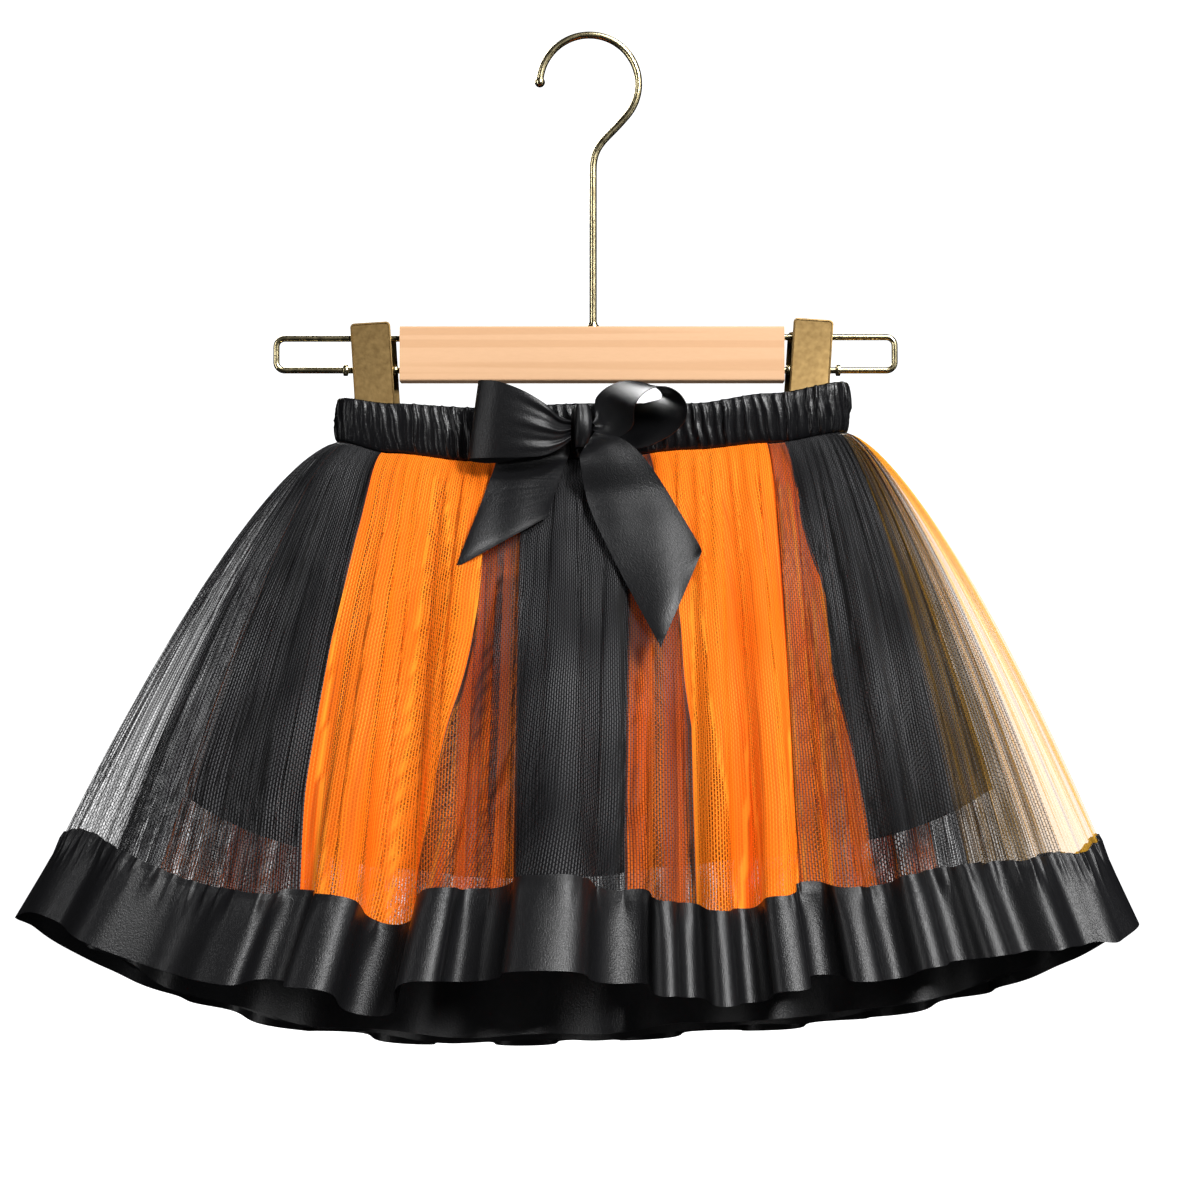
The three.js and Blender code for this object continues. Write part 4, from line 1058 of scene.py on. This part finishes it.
def smooth_rows(rows, share):
    """Rows of a table at shares from 0 to 1, on a smooth curve through all of them."""
    rows = np.array(rows, float)
    padded = np.vstack([2 * rows[0] - rows[1], rows, 2 * rows[-1] - rows[-2]])
    place = np.clip(share, 0, 1) * (len(rows) - 1)
    row = np.minimum(place.astype(int), len(rows) - 2)
    t = (place - row)[..., None]
    before, start, end, after = (padded[row + k] for k in range(4))
    square = 2 * before - 5 * start + 4 * end - after
    cube = 3 * (start - end) + after - before
    return 0.5 * (2 * start + (end - before) * t + square * t**2 + cube * t**3)


print("bow sections:", len(LOOP_LEFT) + len(TAIL_LEFT) + len(TAIL_RIGHT))

# %% Loops
def loop_left_place(across, down):
    middle = smooth_rows(LOOP_LEFT, across)
    up = 1 - 2 * down
    narrow = np.clip(1.25 - middle[:, 3] / 14, 0, 1)
    ripple = narrow * (1.3 * np.sin(7.5 * up + 1.0) + 0.6 * np.sin(17 * up))
    side = np.where(across < 0.5, -1, 1)
    belly = 1.2 * (1 - up**2) * np.sin(np.pi * across) ** 2
    x, y, z, half, lean = middle.T
    return np.stack([x + up * lean, y + side * (0.9 * ripple + belly), z + up * half], -1)


def loop_right_place(across, down):
    edges = smooth_rows(LOOP_RIGHT, across)
    points = edges[:, :3] + (edges[:, 3:] - edges[:, :3]) * down[:, None]
    narrow = np.clip(1 - np.minimum(across, 1 - across) / 0.17, 0, 1) ** 1.5
    points[:, 1] -= narrow * 0.9 * np.sin(15 * down)
    points[:, 0] += narrow * 0.7 * (1 + np.sin(15 * down + 0.8))
    return points


def make_loop(name, place, length):
    flat = (length, RIBBON_WIDTH)
    piece = make_sheet(f"{name}_ribbon", 120, 36, place, flat)
    give_thickness(piece, offset=0.0)
    dress(piece, satin_black, "satin_black", name)
    declare(piece, flat, "folded", ["bow_knot"])


make_loop("bow_loop_left", loop_left_place, 0.104)
make_loop("bow_loop_right", loop_right_place, 0.098)

# %% Tails
NET_CLEAR = 2.2      # the ribbon's distance from the net's ridges
RIDGE_REACH = (6, 3)     # how near a ridge counts, across and up
SMOOTHINGS = 60


def net_ridges():
    """Points of the outer net's front, as fine as its folds."""
    angle, down = np.meshgrid(np.arange(-45, 45, 0.3), np.linspace(0, 0.55, 60))
    return layer_points(OUTER, OUTER_GATHERS, angle.ravel(), down.ravel())


RIDGES = net_ridges()


def in_front_of_net(points):
    """Brings points forward until they clear every ridge near them."""
    for point in points:
        away = np.abs(RIDGES - point)
        near = (away[:, 0] < RIDGE_REACH[0]) & (away[:, 2] < RIDGE_REACH[1])
        if near.any():
            point[1] = min(point[1], RIDGES[near, 1].min() - NET_CLEAR)
    return points


def make_tail(name, rows, cup, flat, area):
    def place(across, down):
        row = smooth_rows(rows, down)
        x = row[:, 0] + (row[:, 2] - row[:, 0]) * across
        z = row[:, 1] + (row[:, 3] - row[:, 1]) * across
        gathered = np.clip(1 - down / 0.35, 0, 1) ** 1.5
        y = row[:, 4] - 1.1 * gathered * np.sin(13 * across + 0.6)
        points = in_front_of_net(np.stack([x, y, z], -1))
        points[:, 1] -= cup * np.sin(np.pi * across) * down
        return points

    piece = make_sheet(f"{name}_ribbon", 36, 72, place, flat)
    bm = bmesh.new()
    bm.from_mesh(piece.data)
    for _ in range(SMOOTHINGS):
        bmesh.ops.smooth_vert(bm, verts=bm.verts, factor=0.5, use_axis_y=True)
    bm.to_mesh(piece.data)
    bm.free()
    give_thickness(piece, offset=0.0)
    dress(piece, satin_black, "satin_black", name)
    declare(piece, flat, "hung", ["bow_knot"], area=area)


make_tail("bow_tail_left", TAIL_LEFT, 1.0, (RIBBON_WIDTH, 0.082), 0.0022)
make_tail("bow_tail_right", TAIL_RIGHT, 2.2, (RIBBON_WIDTH, 0.112), 0.0031)

# %% Knot
def make_knot():
    middle_y = (KNOT["front"] + KNOT["back"]) / 2
    depth = (KNOT["back"] - KNOT["front"]) / 2

    def place(across, down):
        turn = 2 * np.pi * across
        swell = 0.74 + 0.26 * np.sin(np.pi * down) ** 0.8
        fold = 0.55 * np.cos(5 * turn + 1.2 * np.sin(3 * down + 1))
        wide = (KNOT["width"] / 2 + fold) * swell
        x = KNOT["x"] + wide * np.sin(turn) + 0.7 * np.sin(2.5 * down)
        y = middle_y + (depth * swell + fold) * np.cos(turn)
        return np.stack([x, y, KNOT["z"] + KNOT["height"] * (0.5 - down)], -1)

    flat = (KNOT["around"] * MM, KNOT["height"] * MM)
    piece = make_sheet("bow_knot_wrap", 96, 24, place, flat, ring=True)
    bm = bmesh.new()
    bm.from_mesh(piece.data)
    rims = [edge for edge in bm.edges if edge.is_boundary]
    bmesh.ops.holes_fill(bm, edges=rims, sides=0)
    bmesh.ops.recalc_face_normals(bm, faces=bm.faces)
    bm.to_mesh(piece.data)
    bm.free()
    dress(piece, satin_black, "satin_black", "bow_knot")


make_knot()
print("bow made")

# %% [markdown]
# ## Hanger
#
# The hook and the two loops are brass-plated wire. A circle is extruded along the wire's middle
# line, and each new ring is turned from the old direction to the next one, so the wire keeps its
# round section through every bend. The bar stays as the frame has it.

# %% Bend the wire
def make_wire(points, radius, sides=14):
    """Extrudes a circle along points, in mm from the bar's middle, and closes both ends."""
    path = [Vector((np.array(point) + SHIFT) * MM) for point in points]
    ways = [(after - before).normalized() for before, after in zip(path[:-1], path[1:])]
    ways = [ways[0]] + [(a + b).normalized() for a, b in zip(ways[:-1], ways[1:])] + [ways[-1]]
    bm = bmesh.new()
    stand = Matrix.Translation(path[0]) @ ways[0].to_track_quat("Z", "Y").to_matrix().to_4x4()
    ring = bmesh.ops.create_circle(bm, cap_ends=True, segments=sides, radius=radius * MM,
                                   matrix=stand)["verts"]
    edges = [edge for edge in bm.edges if edge.verts[0] in ring]
    for before, here, old, new in zip(path[:-1], path[1:], ways[:-1], ways[1:]):
        made = bmesh.ops.extrude_edge_only(bm, edges=edges)["geom"]
        ring = [part for part in made if isinstance(part, bmesh.types.BMVert)]
        edges = [part for part in made if isinstance(part, bmesh.types.BMEdge)]
        turn = old.rotation_difference(new).to_matrix()
        bmesh.ops.rotate(bm, cent=before, matrix=turn, verts=ring)
        bmesh.ops.translate(bm, vec=here - before, verts=ring)
    bmesh.ops.contextual_create(bm, geom=edges)
    bmesh.ops.recalc_face_normals(bm, faces=bm.faces)
    return bm


def arc(centre_x, centre_z, radius, first, last, steps):
    turns = np.linspace(first, last, steps + 1) * DEGREE
    return [(centre_x + radius * math.cos(turn), 0, centre_z + radius * math.sin(turn))
            for turn in turns]


def bezier(start, near_start, near_end, end, steps):
    t = np.linspace(0, 1, steps + 1)[:, None]
    a, b, c, d = (np.array(corner, float) for corner in (start, near_start, near_end, end))
    return list((1 - t)**3 * a + 3 * t * (1 - t)**2 * b + 3 * t**2 * (1 - t) * c + t**3 * d)


HOOK = {"wire": 1.75, "centre_x": -1.4, "bend": 23.8, "turns": (178, -38), "stem_x": 0.5,
        "bead": 2.5, "neck": 27, "leave": (-10, 0, -12.5), "arrive": 13}
COLLARS = [(3.1, 0.9, 0.45), (2.3, 1.4, 1.5)]    # radius, height, middle above the bar
BAR = {"half": 92, "top": -140}
print("wire is", 2 * HOOK["wire"], "mm thick")

# %% The hook
def make_hook():
    centre_z = HOOK["wire"] - HOOK["bend"]
    bend = arc(HOOK["centre_x"], centre_z, HOOK["bend"], *HOOK["turns"], 64)
    leave = np.array(bend[-1])
    stem_top = np.array([HOOK["stem_x"], 0, leave[2] - HOOK["neck"]])
    neck = bezier(leave, leave + np.array(HOOK["leave"]), stem_top + [0, 0, HOOK["arrive"]],
                  stem_top, 20)
    stem = [(HOOK["stem_x"], 0, BAR["top"] + 6), (HOOK["stem_x"], 0, BAR["top"] + 0.3)]
    bm = make_wire(bend + neck[1:] + stem, HOOK["wire"])
    tip = Vector((np.array(bend[0]) + SHIFT) * MM)
    bmesh.ops.create_uvsphere(bm, u_segments=20, v_segments=12, radius=HOOK["bead"] * MM,
                              matrix=Matrix.Translation(tip))
    foot = Vector((np.array(stem[1]) + SHIFT) * MM)
    for radius, height, lift in COLLARS:
        bmesh.ops.create_cone(bm, cap_ends=True, segments=24, radius1=radius * MM,
                              radius2=0.86 * radius * MM, depth=height * MM,
                              matrix=Matrix.Translation(foot + Vector((0, 0, lift * MM))))
    dress(finish_mesh(bm, "hook_wire", sharp=40), wire_brass, "brass_wire", "hook")


make_hook()

# %% The wire loops
LOOP_WIRE = {"wire": 1.5, "corner": 4, "lower": -160.6}
LOOP_SIDES = [("left", -1, 151.5, -145.3), ("right", 1, 145.2, -144.6)]


def make_wire_loop(side_name, side, end, upper):
    start, corner = BAR["half"] + 0.3, LOOP_WIRE["corner"]
    lower, inside = LOOP_WIRE["lower"], end - corner
    points = [(start, 0, upper), ((start + inside) / 2, 0, upper)]
    points += arc(inside, upper - corner, corner, 90, 0, 12)
    points += arc(inside, lower + corner, corner, 0, -90, 12)
    points += [((start + inside) / 2, 0, lower), (start, 0, lower)]
    bm = make_wire([(side * x, y, z) for x, y, z in points], LOOP_WIRE["wire"])
    name = f"wire_loop_{side_name}"
    dress(finish_mesh(bm, f"{name}_wire", sharp=50), wire_brass, "brass_wire", name)


for side_row in LOOP_SIDES:
    make_wire_loop(*side_row)
print("loops made")

# %% [markdown]
# ## Clips
#
# A clip is two stamped brass plates, sprung apart at the top and shut at the bottom by a coil
# round the lower wire. Each plate has a thin rim where its edge is turned back. It starts as a
# thin cube, whose upper corners are bevelled round and whose outer face is inset and sunk.

# %% The clips' plates
CLIP = {"width": 19.2, "plate": 1.2, "corner": 2.0, "front_y": -3.45, "back_y": 2.25, "length": 50,
        "back_shift": 2.4, "back_length": 44, "rim": 0.75, "sunk": 0.3, "round": 0.22}
SPRING = {"turns": 6, "radius": 1.95, "pitch": 0.95, "wire": 0.4, "down": 20}
COLLAR = {"radius": 2.7, "length": 2.2, "round": 0.4, "away": 2.2}
CLIPS = [("clip_left", -1, -106.4, -137.9, 3.6), ("clip_right", 1, 106.2, -136.2, -3.8)]


def bevel(bm, edges, offset, segments, **more):
    bmesh.ops.bevel(bm, geom=edges, offset=offset * MM, offset_type="OFFSET", segments=segments,
                    profile=0.5, affect="EDGES", material=-1, **more)


def make_plate(name, centre_x, top, length, front_y, lean, faces_front):
    bm = bmesh.new()
    bmesh.ops.create_cube(bm, size=1.0)
    size = Vector((CLIP["width"], CLIP["plate"], length)) * MM
    bmesh.ops.scale(bm, vec=size, verts=bm.verts)
    upright = [edge for edge in bm.edges
               if abs(edge.verts[0].co.y - edge.verts[1].co.y) > 0.5 * size.y
               and edge.verts[0].co.z > 0]
    bevel(bm, upright, CLIP["corner"], 6)
    outside = [face for face in bm.faces if abs(face.normal.y) > 0.9]
    shown = [face for face in outside if (face.normal.y < 0) == faces_front]
    sunk = CLIP["sunk"] * MM
    bmesh.ops.inset_region(bm, faces=shown, thickness=CLIP["rim"] * MM, depth=0)
    bmesh.ops.inset_region(bm, faces=shown, thickness=sunk, depth=-sunk)
    rims = [edge for edge in bm.edges if edge.is_manifold
            and edge.calc_face_angle(0) > math.radians(50) and edge.calc_length() > sunk]
    bevel(bm, rims, CLIP["round"], 2, clamp_overlap=True)
    bmesh.ops.translate(bm, vec=Vector((0, CLIP["plate"] / 2, -length / 2)) * MM, verts=bm.verts)
    bmesh.ops.rotate(bm, cent=(0, 0, 0), verts=bm.verts,
                     matrix=Matrix.Rotation(math.radians(-lean), 3, "Y"))
    place = Vector((centre_x + SHIFT[0], front_y, top)) * MM
    bmesh.ops.translate(bm, vec=place, verts=bm.verts)
    return finish_mesh(bm, name, sharp=35)


def make_spring(name, x):
    """A coil of thin wire round the lower wire, between the plates."""
    turns, radius = SPRING["turns"], SPRING["radius"]
    angle = np.linspace(0, math.tau * turns, 24 * turns)
    points = [(x + (share - 0.5) * turns * SPRING["pitch"], radius * math.cos(a),
               LOOP_WIRE["lower"] + radius * math.sin(a))
              for share, a in zip(np.linspace(0, 1, len(angle)), angle)]
    bm = make_wire(points, SPRING["wire"], sides=8)
    dress(finish_mesh(bm, name), wire_brass, "brass_wire")


def make_collar(name, x):
    """A short bush on the lower wire beside the clip, which keeps it square."""
    bm = bmesh.new()
    place = Vector((x + SHIFT[0], 0, LOOP_WIRE["lower"])) * MM
    stand = Matrix.Translation(place) @ Matrix.Rotation(math.radians(90), 4, "Y")
    radius = COLLAR["radius"] * MM
    bmesh.ops.create_cone(bm, cap_ends=True, segments=28, radius1=radius, radius2=radius,
                          depth=COLLAR["length"] * MM, matrix=stand)
    rims = [edge for edge in bm.edges if edge.calc_face_angle(0) > 1.0]
    bevel(bm, rims, COLLAR["round"], 2)
    dress(finish_mesh(bm, name, sharp=35), wire_brass, "brass_wire")


def make_clip(name, side, x, top, lean):
    front = make_plate(f"{name}_front_plate", x, top, CLIP["length"], CLIP["front_y"], lean, True)
    dress(front, clip_brass, "brass_clip", f"{name}_front")
    drop = CLIP["length"] - CLIP["back_length"]
    back = make_plate(f"{name}_back_plate", x - side * CLIP["back_shift"], top - drop,
                      CLIP["back_length"], CLIP["back_y"], lean, False)
    dress(back, clip_brass, "brass_clip", f"{name}_back")
    make_spring(f"{name}_spring", x + math.radians(lean) * SPRING["down"] * side)
    for end, away in (("inner", -1), ("outer", 1)):
        make_collar(f"{name}_collar_{end}",
                    x + side * away * (CLIP["width"] / 2 + COLLAR["away"]))


for clip_row in CLIPS:
    make_clip(*clip_row)
print("clips made")
